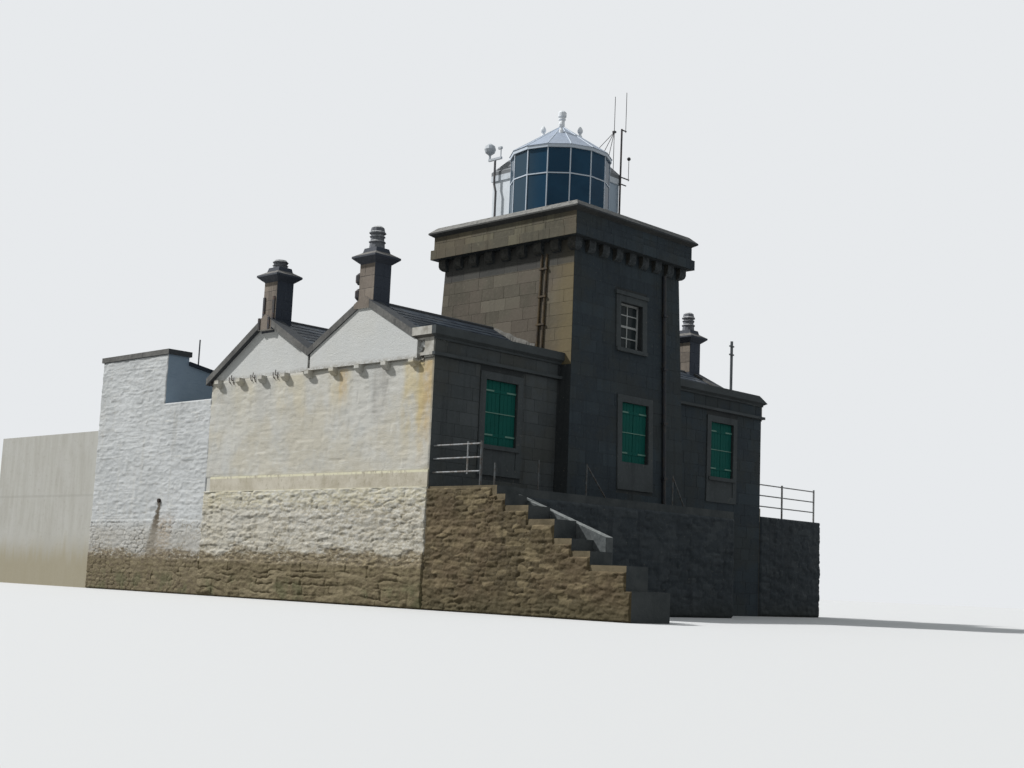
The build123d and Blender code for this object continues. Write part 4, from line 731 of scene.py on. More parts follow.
def painted_end_material():
    """Moulded stone that is painted white where it turns the corner onto the gable."""
    s = Shader("painted_moulding")
    fine = s.noise(9)
    bare = s.mix(s.cloud(0.35, 0.65, 1.2, 5, 0.6), FRONT_TONES[0], FRONT_TONES[1])
    # Bare stone is paler where it faces up: partly weathering, partly painted light.
    bare = s.mix(s.times(s.upward(), s.ramp(fine, 0.3, 0.55)), bare, (0.13, 0.12, 0.105))
    spots = s.noise(6, 6, 0.75, (1, 1, 0.6), (1, 6, 2))
    s.colour = s.mix(s.cloud(0.35, 0.65, 1.1), (0.570, 0.525, 0.430), (0.425, 0.38, 0.285))
    s.lay((0.30, 0.265, 0.18), s.ramp(spots, 0.54, 0.64), 0.55)
    s.lay((0.60, 0.565, 0.47), s.ramp(spots, 0.44, 0.34), 0.45)
    # A pale yellow line along the band's top: a painted highlight of its sunlit upper edge.
    s.lay((0.70, 0.665, 0.48), s.band(s.z, BAND_TOP - 0.05, BAND_TOP, 0.02, 0.01), s.ramp(spots, 0.62, 0.50))
    s.lay((0.60, 0.56, 0.42), s.band(s.z, BAND_BOTTOM, BAND_BOTTOM + 0.025, 0.01, 0.01), 0.6)
    cream = s.colour
    s.colour = s.mix(s.cloud(0.4, 0.65, 3), (0.47, 0.455, 0.41), (0.28, 0.26, 0.22))
    s.lay(cream, s.band(s.z, BAND_BOTTOM, BAND_TOP, 0.01, 0.01), 0.9)
    # Faces that look down are near black: a painted shade under the moulding.
    s.lay((0.050, 0.046, 0.040), s.ramp(s.facing()[2], -0.10, -0.35), 0.85)
    left, right = s.ramp(s.x, WALL_X0 + 0.002, WALL_X0 - 0.002), s.ramp(s.x, WALL_X1 - 0.002, WALL_X1 + 0.002)
    behind = s.ramp(s.y, FRONT_Y - 0.001, FRONT_Y + 0.001)
    s.colour = s.mix(s.times(s.math("MAXIMUM", left, right), behind), bare, s.colour)
    return s.finish(fine)


def concrete_material():
    """Pale cast concrete with upright board marks and a day joint."""
    s = Shader("boundary_concrete")
    marks = s.noise(1.7, 7, 0.65, (1, 1.9, 0.24))
    s.colour = s.mix(s.ramp(marks, 0.36, 0.64), (0.462, 0.452, 0.408), (0.412, 0.398, 0.353))
    s.lay((0.49, 0.48, 0.445), s.cloud(0.42, 0.66, 0.8, 6, 0.65, offset=(2, 0, 0)), 0.5)
    s.lay((0.33, 0.31, 0.26), s.cloud(0.54, 0.68, 7, 6, 0.75, offset=(1, 1, 0)), 0.45)
    s.lay((0.28, 0.27, 0.235), s.band(s.z, 2.97, 3.01, 0.04, 0.04), 0.25)
    s.lay((0.31, 0.265, 0.165), s.ramp(s.plus(s.z, marks, 1.5), 2.5, 1.4), 0.75)
    return s.finish(s.noise(14, 6, 0.6), 0.3, 0.01)


def slate_material():
    """Dark slates of unequal shade, with pale patches and spots of lichen."""
    s = Shader("roof_slate", roughness=0.55)
    s.colour = s.mix(s.stored("shade"), (0.012, 0.020, 0.032), (0.030, 0.042, 0.057))
    s.lay((0.085, 0.085, 0.078), s.cloud(0.5, 0.7, 2.5, 5, 0.6), 0.4)
    s.lay((0.22, 0.205, 0.15), s.cloud(0.66, 0.74, 20, 4, 0.6, offset=(1, 1, 4)), 0.5)
    return s.finish(s.noise(30, 4, 0.6), 0.25, 0.005)


def glass_material():
    """Dark glazing, deep blue, paler grey-blue on the landward side."""
    s = Shader("dark_glass", roughness=0.08)
    s.colour = s.mix(s.cloud(0.4, 0.7, 0.8, 4, 0.6), (0.018, 0.058, 0.105), (0.024, 0.076, 0.135))
    landward = s.minus(s.y, s.minus(s.x, LANTERN_X))
    s.lay((0.050, 0.080, 0.105), s.ramp(landward, 0.75, 1.7), s.ramp(s.z, 10.4, 10.6), 0.8)
    s.lay((0.030, 0.038, 0.040), s.ramp(s.z, 10.4, 10.2))
    s.surface.inputs["Specular IOR Level"].default_value = 0.06
    s.surface.inputs["Alpha"].default_value = 0.93
    return s.finish()


# Paints and metals

def painted(name, colour, dirt, roughness=0.45, amount=0.35, scale=3.0, rust=None, front=None):
    """Paint with faded patches and dirt runs."""
    s = Shader(name, roughness)
    s.colour = s.mix(s.times(s.cloud(0.4, 0.75, scale, 5, 0.6), amount), colour, dirt)
    s.lay(dirt, s.cloud(0.55, 0.7, scale * 1.5, 4, 0.6, (2, 2, 0.15), (5, 2, 0)), amount)
    # Faces that look to the front take the front tone: a painted shade.
    if front:
        s.lay(front, s.ramp(s.facing()[1], -0.3, -0.7), 0.8)
    if rust:
        s.lay(rust, s.cloud(0.56, 0.66, scale * 4, offset=(3, 3, 3)))
    return s.finish(s.noise(25, 3, 0.6), 0.1, 0.004)


def parted(name, wear_form, first, second, where, roughness=0.6, strength=0.2, distance=0.004):
    """A worn surface with two colourings. The second shows where the given mask of the shader is one.
    A colouring is the start and the end of its ramp over the wear, and its two tones."""
    s = Shader(name, roughness)
    wear = s.noise(*wear_form)
    tones = [s.mix(s.ramp(wear, start, end), *pair) for start, end, *pair in (first, second)]
    s.colour = s.mix(where(s), *tones)
    return s.finish(wear, strength, distance)


def lit_side(s):
    """One on the left and rear sides of the tower, which the sun lights, nought on the front and right, which
    the materials that use it paint in shade.
    """
    facing = s.facing()
    return s.ramp(s.minus(facing[0], facing[1]), -0.2, -0.6)


def dark_rails(s):
    """The end post of the railing and the old posts on the terrace. On the terrace posts the dark tone is
    painted shade.
    """
    terrace = s.times(s.ramp(s.x, WALL_X0 + 0.3, WALL_X0 + 0.4), s.ramp(s.x, WALL_X1, WALL_X1 - 0.1))
    return s.math("MAXIMUM", s.ramp(s.y, FRONT_Y - 1.60, FRONT_Y - 1.64), terrace)


STEP_STONE = step_material()
GABLE_PAINT = white_paint("gable_paint", (0.550, 0.540, 0.497), (0.470, 0.455, 0.405), (0.105, 0.080, 0.044))
YARD_PAINT = white_paint(
    "yard_paint", (0.550, 0.560, 0.555), (0.450, 0.460, 0.455), (0.115, 0.088, 0.055), yard=True)
PAINTED_MOULDING = painted_end_material()
CONCRETE = concrete_material()
SLATE = slate_material()
GLASS = glass_material()
# Corbels and parapet mortar in two copies: blue-grey on the front and right, a painted shade, and brown on
# the left and rear. The corbels' brown is dark too: a painted shadow of the fascia above them.
CORBEL_STONE = parted(
    "corbel_stone", (9,), (0.40, 0.62, (0.030, 0.035, 0.038), (0.062, 0.070, 0.074)),
    (0.40, 0.60, (0.029, 0.029, 0.026), (0.060, 0.058, 0.050)), lit_side, 0.85, 0.5, 0.02)
PARAPET_JOINT = parted(
    "parapet_mortar", (9,), (0.40, 0.62, (0.022, 0.027, 0.030), (0.036, 0.042, 0.045)),
    (0.40, 0.60, (0.060, 0.053, 0.037), (0.086, 0.077, 0.054)), lit_side, 0.85, 0.5, 0.02)
KERB = parted(
    "kerb_mortar", (6,), (0.35, 0.65, (0.115, 0.125, 0.125), (0.060, 0.067, 0.068)),
    (0.35, 0.65, (0.27, 0.28, 0.27), (0.15, 0.16, 0.155)), Shader.upward, 0.85, 0.5, 0.02)
PALE_RAIL = parted(
    "rail_paint", (9,), (0.45, 0.62, (0.27, 0.28, 0.285), (0.15, 0.13, 0.11)),
    (0.40, 0.60, (0.095, 0.105, 0.11), (0.060, 0.052, 0.045)), dark_rails)
HUT_ROOF = parted(
    "hut_roof_sheet", (4, 5), (0.4, 0.7, (0.17, 0.18, 0.19), (0.11, 0.115, 0.12)),
    (0.45, 0.75, (0.60, 0.64, 0.68), (0.40, 0.42, 0.43)),
    lambda s: s.ramp(s.z, HUT_EAVES + 0.20, HUT_EAVES + 0.17))
CAMERA_BODY = parted(
    "camera_mast_paint", (5, 5), (0.45, 0.70, (0.46, 0.49, 0.52), (0.33, 0.345, 0.35)),
    (0.40, 0.65, (0.085, 0.085, 0.09), (0.14, 0.13, 0.125)),
    lambda s: s.ramp(s.z, MAST_ARM - 0.05, MAST_ARM - 0.07), 0.45, 0.1)
PIPE_METAL = parted(
    "pipe_metal", (8, 6, 0.7, (1, 1, 0.4)), (0.45, 0.65, (0.012, 0.015, 0.020), (0.030, 0.026, 0.022)),
    (0.42, 0.60, (0.078, 0.053, 0.024), (0.032, 0.024, 0.017)),
    lambda s: s.ramp(s.x, TOWER_X0 + 1.0, TOWER_X0 + 0.9))
ROOF_METAL = painted("roof_metal", (0.32, 0.37, 0.45), (0.23, 0.26, 0.30), 0.5, 0.45)
HUT_WHITE = painted("hut_white", (0.72, 0.76, 0.79), (0.54, 0.56, 0.57), front=(0.30, 0.39, 0.48))
FINIAL_WHITE = painted("finial_white", (0.78, 0.80, 0.82), (0.62, 0.64, 0.65), amount=0.3)
WHITE_METAL = painted("white_metal", (0.55, 0.61, 0.68), (0.42, 0.45, 0.47), amount=0.3)
DARK_METAL = painted("dark_metal", (0.030, 0.030, 0.034), (0.07, 0.06, 0.05), rust=(0.12, 0.055, 0.03))
POLE_METAL = painted("pole_metal", (0.10, 0.11, 0.12), (0.05, 0.05, 0.05))
RUST = painted("rust", (0.035, 0.024, 0.018), (0.02, 0.016, 0.014), 0.9, rust=(0.085, 0.04, 0.022))
GREEN = painted("green_paint", (0.0, 0.078, 0.062), (0.001, 0.056, 0.046), 0.85, 0.5)
PALE_IRON = painted("pale_iron", (0.10, 0.21, 0.165), (0.05, 0.14, 0.105))
SASH_WHITE = painted("sash_white", (0.36, 0.37, 0.36), (0.24, 0.235, 0.22))
LEAD = painted("lead", (0.15, 0.16, 0.17), (0.23, 0.235, 0.235), 0.5)
FILLET = painted("mortar_fillet", (0.150, 0.145, 0.132), (0.085, 0.080, 0.070), 0.9, 0.8, 6.0)
FLOOR_GREY = painted("floor_grey", (0.16, 0.155, 0.145), (0.10, 0.095, 0.085), 0.9)

for material, names in (
        (SHADED_JOINT, "tower_wall_front tower_wall_right front_walls terrace_front_wall"),
        (TOWER_JOINT, "tower_wall_rear tower_wall_left"),
        (CORBEL_STONE, "tower_corbels"),
        (PARAPET_JOINT, "tower_parapet"),
        (LEAD, "tower_deck"),
        (FLOOR_GREY, "tower_floors ground_floor"),
        (COPING_STONE, "tower_coping"),
        (PAINTED_MOULDING, "cornice string_courses"),
        (CHIMNEY_CAP_AND_SHADE, "chimneys"),
        (GABLE_PAINT, "gable_corbels gable_walls gable_facings rear_wall"),
        (YARD_PAINT, "yard_wall_low yard_wall_high outbuilding_end_walls outbuilding_side_wall"),
        (STEP_STONE, "terrace_floor step_treads step_wall"),
        (DARK_COPING, "verge_copings yard_coping"),
        (POT_STONE, "chimney_pots"),
        (MOULDING, "window_surrounds"),
        (WHITE_METAL, "lantern_base lantern_frame"),
        (HUT_WHITE, "stair_hut_walls"),
        (HUT_ROOF, "stair_hut_roof"),
        (RUBBLE_JOINT, "terrace_end_walls right_wall"),
        (CONCRETE, "boundary_wall"),
        (KERB, "step_kerb"),
        (SLATE, "front_roof rear_roof outbuilding_roof"),
        (ROOF_METAL, "lantern_roof"),
        (FINIAL_WHITE, "roof_vent ball_finials"),
        (CAMERA_BODY, "camera_mast"),
        (DARK_METAL, "aerial_mast"),
        (PIPE_METAL, "downpipes"),
        (POLE_METAL, "roof_poles"),
        (PALE_RAIL, "railings"),
        (GREEN, "window_shutters rear_door"),
        (SASH_WHITE, "sash_window"),
        (GLASS, "window_glass")):
    for name in names.split():
        nodes[name].data.materials.clear()
        nodes[name].data.materials.append(material)


# Squared stones of the tower, on four leaning faces

def window_hole(centre):
    """The opening that a window and its surround leave in the stones."""
    reach = WINDOW_HALF + SURROUND
    return centre - reach, centre + reach, WINDOW_FOOT, WINDOW_HEAD


# The stones of the left, right and rear sides start at the level where the roofs hide their foot.
HIDDEN_FOOT = 6.7
SLANT = math.sqrt(1 + BATTER * BATTER)
for side, (face, width) in wall_faces(TOWER_X0, TOWER_X1, TOWER_Y0, TOWER_Y1, BATTER).items():
    bottom, holes = HIDDEN_FOOT, []
    if side == "front":
        bottom = TERRACE_HIGH.z
        holes = [window_hole(width / 2 + TOWER_WINDOW),
                 (SASH_LOW.x - TOWER_X0 - SURROUND, SASH_HIGH.x - TOWER_X0 + SURROUND,
                  SASH_LOW.z - 0.1, SASH_HIGH.z + 0.33)]
    pile = Pile()
    ashlar(pile, face, 0.0, width, bottom * SLANT, (TOWER_TOP.z - 0.02) * SLANT, COURSE, *TOWER_STONES,
           holes, FINE_JOINT, BATTER)
    # The front and right faces take the dark stone, a painted shade of the faces turned from the sun.
    pile.piece(f"tower_ashlar_{side}", TOWER_STONE if side in ("left", "rear") else SHADE_STONE)

# Squared stones of the parapet and the chimneys. The left and rear sides are pale, the others dark: a painted
# shade of the sides turned from the sun.
SIDES = {"pale": ("left", "rear"), "dark": ("front", "right")}


def box_ashlar(pile, tone, plan, *form, **more):
    """Squared stones on the pale or the dark sides of a box."""
    faces = wall_faces(*plan)
    for side in SIDES[tone]:
        face, width = faces[side]
        ashlar(pile, face, 0.0, width, *form, **more)


FASCIA_TOP = PARAPET_LOW.z + 0.29
for name, inset, z0, z1, courses in (("fascia", 0.0, PARAPET_LOW.z, FASCIA_TOP, 1),
                                     ("die", 0.07, FASCIA_TOP, PARAPET_HIGH.z, 2)):
    plan = (PARAPET_LOW.x + inset, PARAPET_HIGH.x - inset, PARAPET_LOW.y + inset, PARAPET_HIGH.y - inset)
    for tone, material in (("pale", PARAPET_STONE), ("dark", SHADE_STONE)):
        pile = Pile()
        box_ashlar(pile, tone, plan, z0, z1, (z1 - z0) / courses, *PARAPET_STONES, joint=FINE_JOINT)
        pile.piece(f"parapet_{name}_{tone}", material)

# Squared stones of the dwelling's front

house = {side: face for side, (face, _) in wall_faces(WALL_X0, WALL_X1, FRONT_Y, REAR_Y).items()}
window_holes = [window_hole(centre) for centre in WING_WINDOWS]
# The tower's front lies between the stones of the two wings.
TOWER_RUN = 5.1
tower_edge = TOWER_X0 - WALL_X0 + 0.1
# The right wing takes the darker stone, a painted shade.
for start, stop, foot, material, wing in ((0.0, tower_edge, TERRACE_HIGH.z, FRONT_STONE, "left"),
                                          (tower_edge + TOWER_RUN, HOUSE_WIDTH, 0.0, SHADE_STONE, "right")):
    pile = Pile()
    for z0, z1, holes in ((foot, FRIEZE_FOOT - 0.1, window_holes), (FRIEZE_FOOT, CORNICE_FOOT, ())):
        ashlar(pile, house["front"], start, stop, z0, z1, COURSE, *FRONT_STONES, holes)
    pile.piece(f"front_ashlar_{wing}", material)

# Painted walls: squared stone above the band, rubble below it and over the yard walls

squared = Masonry(11, HOUSE_DEPTH, 8, (0.26, 0.33), (0.35, 0.85), corner=0.02, wander=0.006)
footing = Masonry(18, HOUSE_DEPTH, 2, (0.13, 0.30), (0.5, 1.5), corner=0.03, wander=0.05, tilt=0.8)
footed = Footed(Rubble(12, 0.56, 0.13, tilt=0.9, wander=0.05), footing, FOOTING)
relief("left_gable_squared_stone", GABLE_PAINT, (0.034, 0.014, 0.014, 0.0042),
       (house["left"], squared, [(0.0, HOUSE_DEPTH, BAND_TOP - LAP, LEDGE - 0.01)]), fill=0.22)
relief("left_gable_rubble", GABLE_PAINT, (0.0245, 0.030, 0.028, 0.012),
       (house["left"], footed, [(0.0, HOUSE_DEPTH, GROUND_GAP, BAND_BOTTOM + LAP)]), base=0.01)
relief("right_gable_squared_stone", GABLE_PAINT, (0.07, 0.010, 0.03, 0.003),
       (house["right"], squared, [(0.0, HOUSE_DEPTH, BAND_TOP, LEDGE - 0.01)]))
relief("right_gable_rubble", GABLE_PAINT, (0.06, 0.032, 0.06, 0.010),
       (house["right"], footed, [(0.4, HOUSE_DEPTH, GROUND_GAP, BAND_BOTTOM)]), base=0.01)

# The rear wall round its windows and its door, as far as the yard wall
REAR_SILL, REAR_TOP, DOOR_HEAD, REAR_REACH = 3.08, 6.1, 5.22, 0.85
yard_reach = HOUSE_WIDTH - 0.45
door0, door1 = HOUSE_WIDTH / 2 - 0.47, HOUSE_WIDTH / 2 + 0.63
(left0, left1), (right0, right1) = (
    (HOUSE_WIDTH - centre - REAR_REACH, HOUSE_WIDTH - centre + REAR_REACH)
    for centre in reversed(WING_WINDOWS))
rear_patches = [(0.0, yard_reach, GROUND_GAP, REAR_SILL), (0.0, left0, REAR_SILL, REAR_TOP),
                (left1, door0, REAR_SILL, REAR_TOP), (door0, door1, DOOR_HEAD, REAR_TOP),
                (door1, right0, REAR_SILL, REAR_TOP), (right1, yard_reach, REAR_SILL, REAR_TOP)]
relief("rear_rubble", GABLE_PAINT, (0.07, 0.035, 0.045, 0.006),
       (house["rear"], Rubble(13, 0.5, 0.2), rear_patches))

yard_face = Face((WALL_X0, YARD_HIGH.y, 0), (0, -1, 0))
high_run, full_run = YARD_HIGH.y - YARD_LOW.y, YARD_HIGH.y - REAR_Y
yard_pattern = Masonry(14, full_run + 1, 8, (0.06, 0.16), (0.25, 0.8), corner=0.02, wander=0.018, tilt=0.9)
yard_foot = Rubble(17, 0.30, 0.13, tilt=0.5, wander=0.04)
yard_patches = [(0.0, high_run, GROUND_GAP, YARD_HIGH.z),
                (high_run, full_run + 2 * LAP, GROUND_GAP, YARD_LOW_TOP)]
relief("yard_rubble", YARD_PAINT, (0.026, 0.013, 0.018, 0.0062),
       (yard_face, Footed(yard_pattern, yard_foot, YARD_LEDGE, 0.02, 1.6), yard_patches), fill=0.42)

# Terrace and steps

side_face = Face((WALL_X0, FRONT_Y, 0), (0, -1, 0))
start = STEPS_START
patches = [(0.0, start, GROUND_GAP, TERRACE_HIGH.z - 0.05)]
for end, level in TREADS:
    top = level if end == TREADS[-1][0] else level - TREAD_THICKNESS
    patches.append((start, end, GROUND_GAP, top))
    start = end
relief("step_rubble", RUBBLE_STONE, (0.0235, 0.032, 0.024, 0.013),
       (side_face, Rubble(15, 0.36, 0.11, tilt=0.7, wander=0.06), patches), fill=0.45)

bank_x, bank_top = WALL_X0 + 0.98, TERRACE_HIGH.z - 0.2
front_face = Face((bank_x, TERRACE_LOW.y, 0), (1, 0, 0))
end_face = Face((TERRACE_HIGH.x, TERRACE_LOW.y, 0), (0, 1, 0))
right_face = Face((WALL_X1, RIGHT_LOW.y, 0), (1, 0, 0))
bank = Rubble(16, 0.5, 0.18)
relief("terrace_rubble", SHADE_RUBBLE, (0.045, 0.04, 0.025, 0.012),
       (front_face, bank, [(0.0, TERRACE_HIGH.x - bank_x, GROUND_GAP, bank_top)]),
       (end_face, bank, [(0.0, 2.2, GROUND_GAP, bank_top)]),
       (right_face, bank, [(0.02, RIGHT_HIGH.x - WALL_X1, GROUND_GAP, RIGHT_HIGH.z)]))

# Squared stones of the chimneys

# The dark sides take the cap's stone, a painted shade.
for tone, material in (("pale", CHIMNEY_STONE), ("dark", CHIMNEY_CAP_AND_SHADE)):
    pile = Pile()
    for x0 in (WALL_X0, WALL_X1 - SHAFT_WIDTH):
        for y0, foot in ((FRONT_STACK, 7.97), (REAR_STACK, 7.90)):
            plan = (x0, x0 + SHAFT_WIDTH, y0, y0 + SHAFT_DEPTH)
            box_ashlar(pile, tone, plan, foot, SHAFT_TOP, 0.30, *CHIMNEY_STONES)
    pile.piece(f"chimney_stones_{tone}", material)

# Iron cramps over the rear corbels of the left gable, each of three bent strokes

STROKES = (((0.12, 0.08), (0.10, -0.06), (0.03, -0.11)), ((0.00, 0.14), (0.02, 0.01), (-0.06, -0.03)),
           ((-0.07, 0.06), (-0.09, -0.09), (-0.14, -0.15)))
iron = Pile()
for i in range(5, 9):
    y = FRONT_Y + 1.19 + i * CORBEL_PITCH
    for stroke in STROKES:
        bends = [(WALL_X0 - 0.05, y + along, LEDGE + rise) for along, rise in stroke]
        for start, end in zip(bends, bends[1:]):
            iron.bar(start, end, 0.012, 6)
iron.piece("iron_cramps", RUST)

# The shafts come down in front of the verge copings, which butt against them.

CREST_LIFT, FOOT_PROUD = 0.09, 0.006
feet = Pile()
for y, ridge, top, slope, drop in ((FRONT_STACK, FRONT_RIDGE, FRONT_ROOF_HIGH.z, FRONT_SLOPE, 0.25),
                                   (REAR_STACK, REAR_RIDGE, REAR_ROOF_HIGH.z, REAR_SLOPE, 0.36)):
    back = y + SHAFT_DEPTH
    crest = top + CREST_LIFT
    outline = [(y, top - drop), (back, top - drop), (back, crest - slope * (back - ridge)), (ridge, crest),
               (y, crest - slope * (ridge - y))]
    feet.rings([[(x, *point) for point in outline] for x in (VERGE_X0 - FOOT_PROUD, WALL_X0)])
feet.piece("chimney_feet", CHIMNEY_STONE)

# Straps on the rear chimney and lamps on the front one

STRAP_WIDTH = 0.085
LAMP_LEVELS = 8.21, 8.64
fixtures = Pile()
for y in (REAR_STACK + 0.06, REAR_STACK + 0.51):
    fixtures.box(WALL_X0 - 0.035, WALL_X0 - 0.005, y, y + STRAP_WIDTH, 7.90, 8.55)
    fixtures.box(VERGE_X0 - 0.030, VERGE_X0, y, y + STRAP_WIDTH, 7.58, 7.92)
lamp_y = FRONT_STACK + SHAFT_DEPTH
for z in LAMP_LEVELS:
    fixtures.box(WALL_X0 + 0.12, WALL_X0 + 0.20, lamp_y, lamp_y + 0.12, z - 0.03, z + 0.03)
    profile = ((0.06, z - 0.16), (0.12, z - 0.09), (0.12, z + 0.09), (0.05, z + 0.16))
    fixtures.turned(WALL_X0 + 0.16, lamp_y + 0.17, profile, 10)
fixtures.piece("chimney_straps_and_lamps", DARK_METAL)

# The block that closes the frieze at the corners of the gables

blocks = Pile()
for x0 in (WALL_X0 - 0.055, WALL_X1):
    blocks.box(x0, x0 + 0.055, FRONT_Y, FRONT_Y + 0.33, FRIEZE_FOOT - 0.13, CORNICE_FOOT + 0.02)
blocks.piece("frieze_end_blocks", PAINTED_MOULDING)

# The outlet of the valley gutter through the facing

outlet = Pile()
for z0, z1 in ((6.33, 6.46), (6.54, 6.68)):
    outlet.box(WALL_X0 - 0.06, WALL_X0 - 0.003, OUTLET_Y - 0.07, OUTLET_Y + 0.07, z0, z1)
outlet.piece("valley_outlet", DARK_METAL)

# Clips of the pair of pipes on the tower's left side and of the pipe on its front

SIDE_CLIP_LEVELS, SIDE_CLIP_Y0, SIDE_CLIP_Y1 = (7.9, 8.7, 9.5), -1.65, -1.34
FRONT_CLIP_LEVELS, FRONT_PIPE_X, FRONT_CLIP_HALF = (3.9, 5.5, 7.1, 8.7), 1.60, 0.09
clips = Pile()
for z in SIDE_CLIP_LEVELS:
    x = TOWER_X0 + BATTER * z
    clips.box(x - 0.08, x + 0.01, SIDE_CLIP_Y0, SIDE_CLIP_Y1, z - 0.025, z + 0.025)
for z in FRONT_CLIP_LEVELS:
    y = TOWER_Y0 + BATTER * z
    clips.box(FRONT_PIPE_X - FRONT_CLIP_HALF, FRONT_PIPE_X + FRONT_CLIP_HALF, y - 0.135, y + 0.01,
              z - 0.03, z + 0.03)
clips.piece("pipe_clips", PIPE_METAL)

# The drain's mouth in the yard wall

drain = Pile()
drain.bar((WALL_X0 - 0.09, DRAIN_Y, DRAIN_Z), (WALL_X0 + 0.05, DRAIN_Y, DRAIN_Z), 0.06, 12)
drain.piece("drain_mouth", RUST)

# Boards and hinges of the shutters

BOARDS_A_LEAF, BOARD_THICKNESS = 4, 0.012
LEAF_GAP, BOARD_GAP = 0.012, 0.004
HINGE_SHARES, HINGE_LENGTH, HINGE_CLEAR = (0.16, 0.84), 0.36, 0.05
boards = Pile()
straps = Pile()


def dress_shutter(x, y, out):
    """Boards over a pair of leaves, with a strap hinge high and low at each outer edge and a bar across."""
    x0, x1 = x - WINDOW_HALF, x + WINDOW_HALF
    height = SHUTTER_HEAD - SHUTTER_FOOT
    low_hinge, high_hinge = (SHUTTER_FOOT + share * height for share in HINGE_SHARES)
    lengths = ((SHUTTER_FOOT + 0.01, low_hinge - HINGE_CLEAR),
               (low_hinge + HINGE_CLEAR, high_hinge - HINGE_CLEAR),
               (high_hinge + HINGE_CLEAR, SHUTTER_HEAD - 0.01))
    for start, end in ((x0 + LEAF_GAP, x - LEAF_GAP), (x + LEAF_GAP, x1 - LEAF_GAP)):
        width = (end - start) / BOARDS_A_LEAF
        for i in range(BOARDS_A_LEAF):
            for z0, z1 in lengths:
                boards.box(start + i * width + BOARD_GAP, start + (i + 1) * width - BOARD_GAP,
                           *sorted((y, y + out * BOARD_THICKNESS)), z0, z1, rng.random())
    for z in (low_hinge, high_hinge):
        for start, end in ((x0 + 0.01, x0 + HINGE_LENGTH), (x1 - HINGE_LENGTH, x1 - 0.01)):
            straps.box(start, end, *sorted((y + out * 0.024, y + out * 0.036)), z - 0.02, z + 0.02)
    z = (SHUTTER_FOOT + SHUTTER_HEAD) / 2
    straps.box(x0 + 0.02, x1 - 0.02, *sorted((y + out * 0.010, y + out * 0.03)), z - 0.012, z + 0.012)


for centre in WING_WINDOWS:
    dress_shutter(WALL_X0 + centre, FRONT_Y + 0.06, -1)
    dress_shutter(WALL_X0 + centre, REAR_Y - 0.06, 1)
dress_shutter(TOWER_WINDOW, TOWER_Y0 + BATTER * SHUTTER_HEAD + 0.06, -1)
boards.piece("shutter_boards", GREEN)
straps.piece("shutter_hinges", PALE_IRON)

# Raised seams on the hips of the lantern roof

seams = Pile()
for i in range(LANTERN_SIDES):
    angle = math.radians(LANTERN_TURN + (i + 0.5) * 360 / LANTERN_SIDES)
    foot, tip = ((LANTERN_X + radius * math.cos(angle), radius * math.sin(angle), z)
                 for radius, z in ((1.565, LANTERN_EAVES + 0.004), (0.1, LANTERN_APEX - 0.066)))
    seams.bar(foot, tip, 0.013, 6)
seams.piece("lantern_roof_seams", WHITE_METAL)

# Lumpy mortar fillets where the roof meets the tower. The line gives places inland and levels.

FILLET_LINE = ((-1.35, 7.35), (-0.45, 7.52), (0.50, 8.02))
FILLET_STEP = 0.05
PATCH_MIDDLE, PATCH_REACH, PATCH_RISE = -0.35, 0.75, 0.17
LUMP_START, LUMP_PITCH, LUMPS = -2.30, 0.17, 18
fillet = Pile()
for side, foot_x in ((-1, TOWER_X0), (1, TOWER_X1)):
    verts, faces = [], []
    count = round((FILLET_LINE[-1][0] - FILLET_LINE[0][0]) / FILLET_STEP)
    places = FILLET_LINE[0][0] + FILLET_STEP * np.arange(count)
    lumps = np.interp(places, LUMP_START + LUMP_PITCH * np.arange(LUMPS),
                      [rng.uniform(0.6, 1.0) for _ in range(LUMPS)])
    for i, place in enumerate(places):
        level = np.interp(place, *zip(*FILLET_LINE))
        patch = max(0.0, 1 - abs(place - PATCH_MIDDLE) / PATCH_REACH) ** 0.5
        crest = level + 0.02 + PATCH_RISE * patch * (lumps[i] + rng.uniform(-0.03, 0.03))
        section = ((0.08, level - 0.10), (0.04 + 0.03 * rng.random(), level + 0.02),
                   (0.020, (level + 2 * crest) / 3), (0.002, crest))
        verts += [(foot_x - side * BATTER * z + side * out, place, z) for out, z in section]
        for row in range(3 if i else 0):
            a, b = 4 * (i - 1) + row, 4 * i + row
            faces.append((a, b, b + 1, a + 1) if side > 0 else (a, a + 1, b + 1, b))
    fillet.add(verts, faces)
fillet.piece("roof_fillet", FILLET)


# Slates

SLATE_GAUGE, SLATE_WIDTH, SLATE_LAP, SLATE_GAP = 0.25, 0.3, 0.03, 0.003
RIDGE_TILE, RIDGE_RADIUS, RIDGE_SUNK, RIDGE_GAP = 0.45, 0.075, 0.035, 0.004


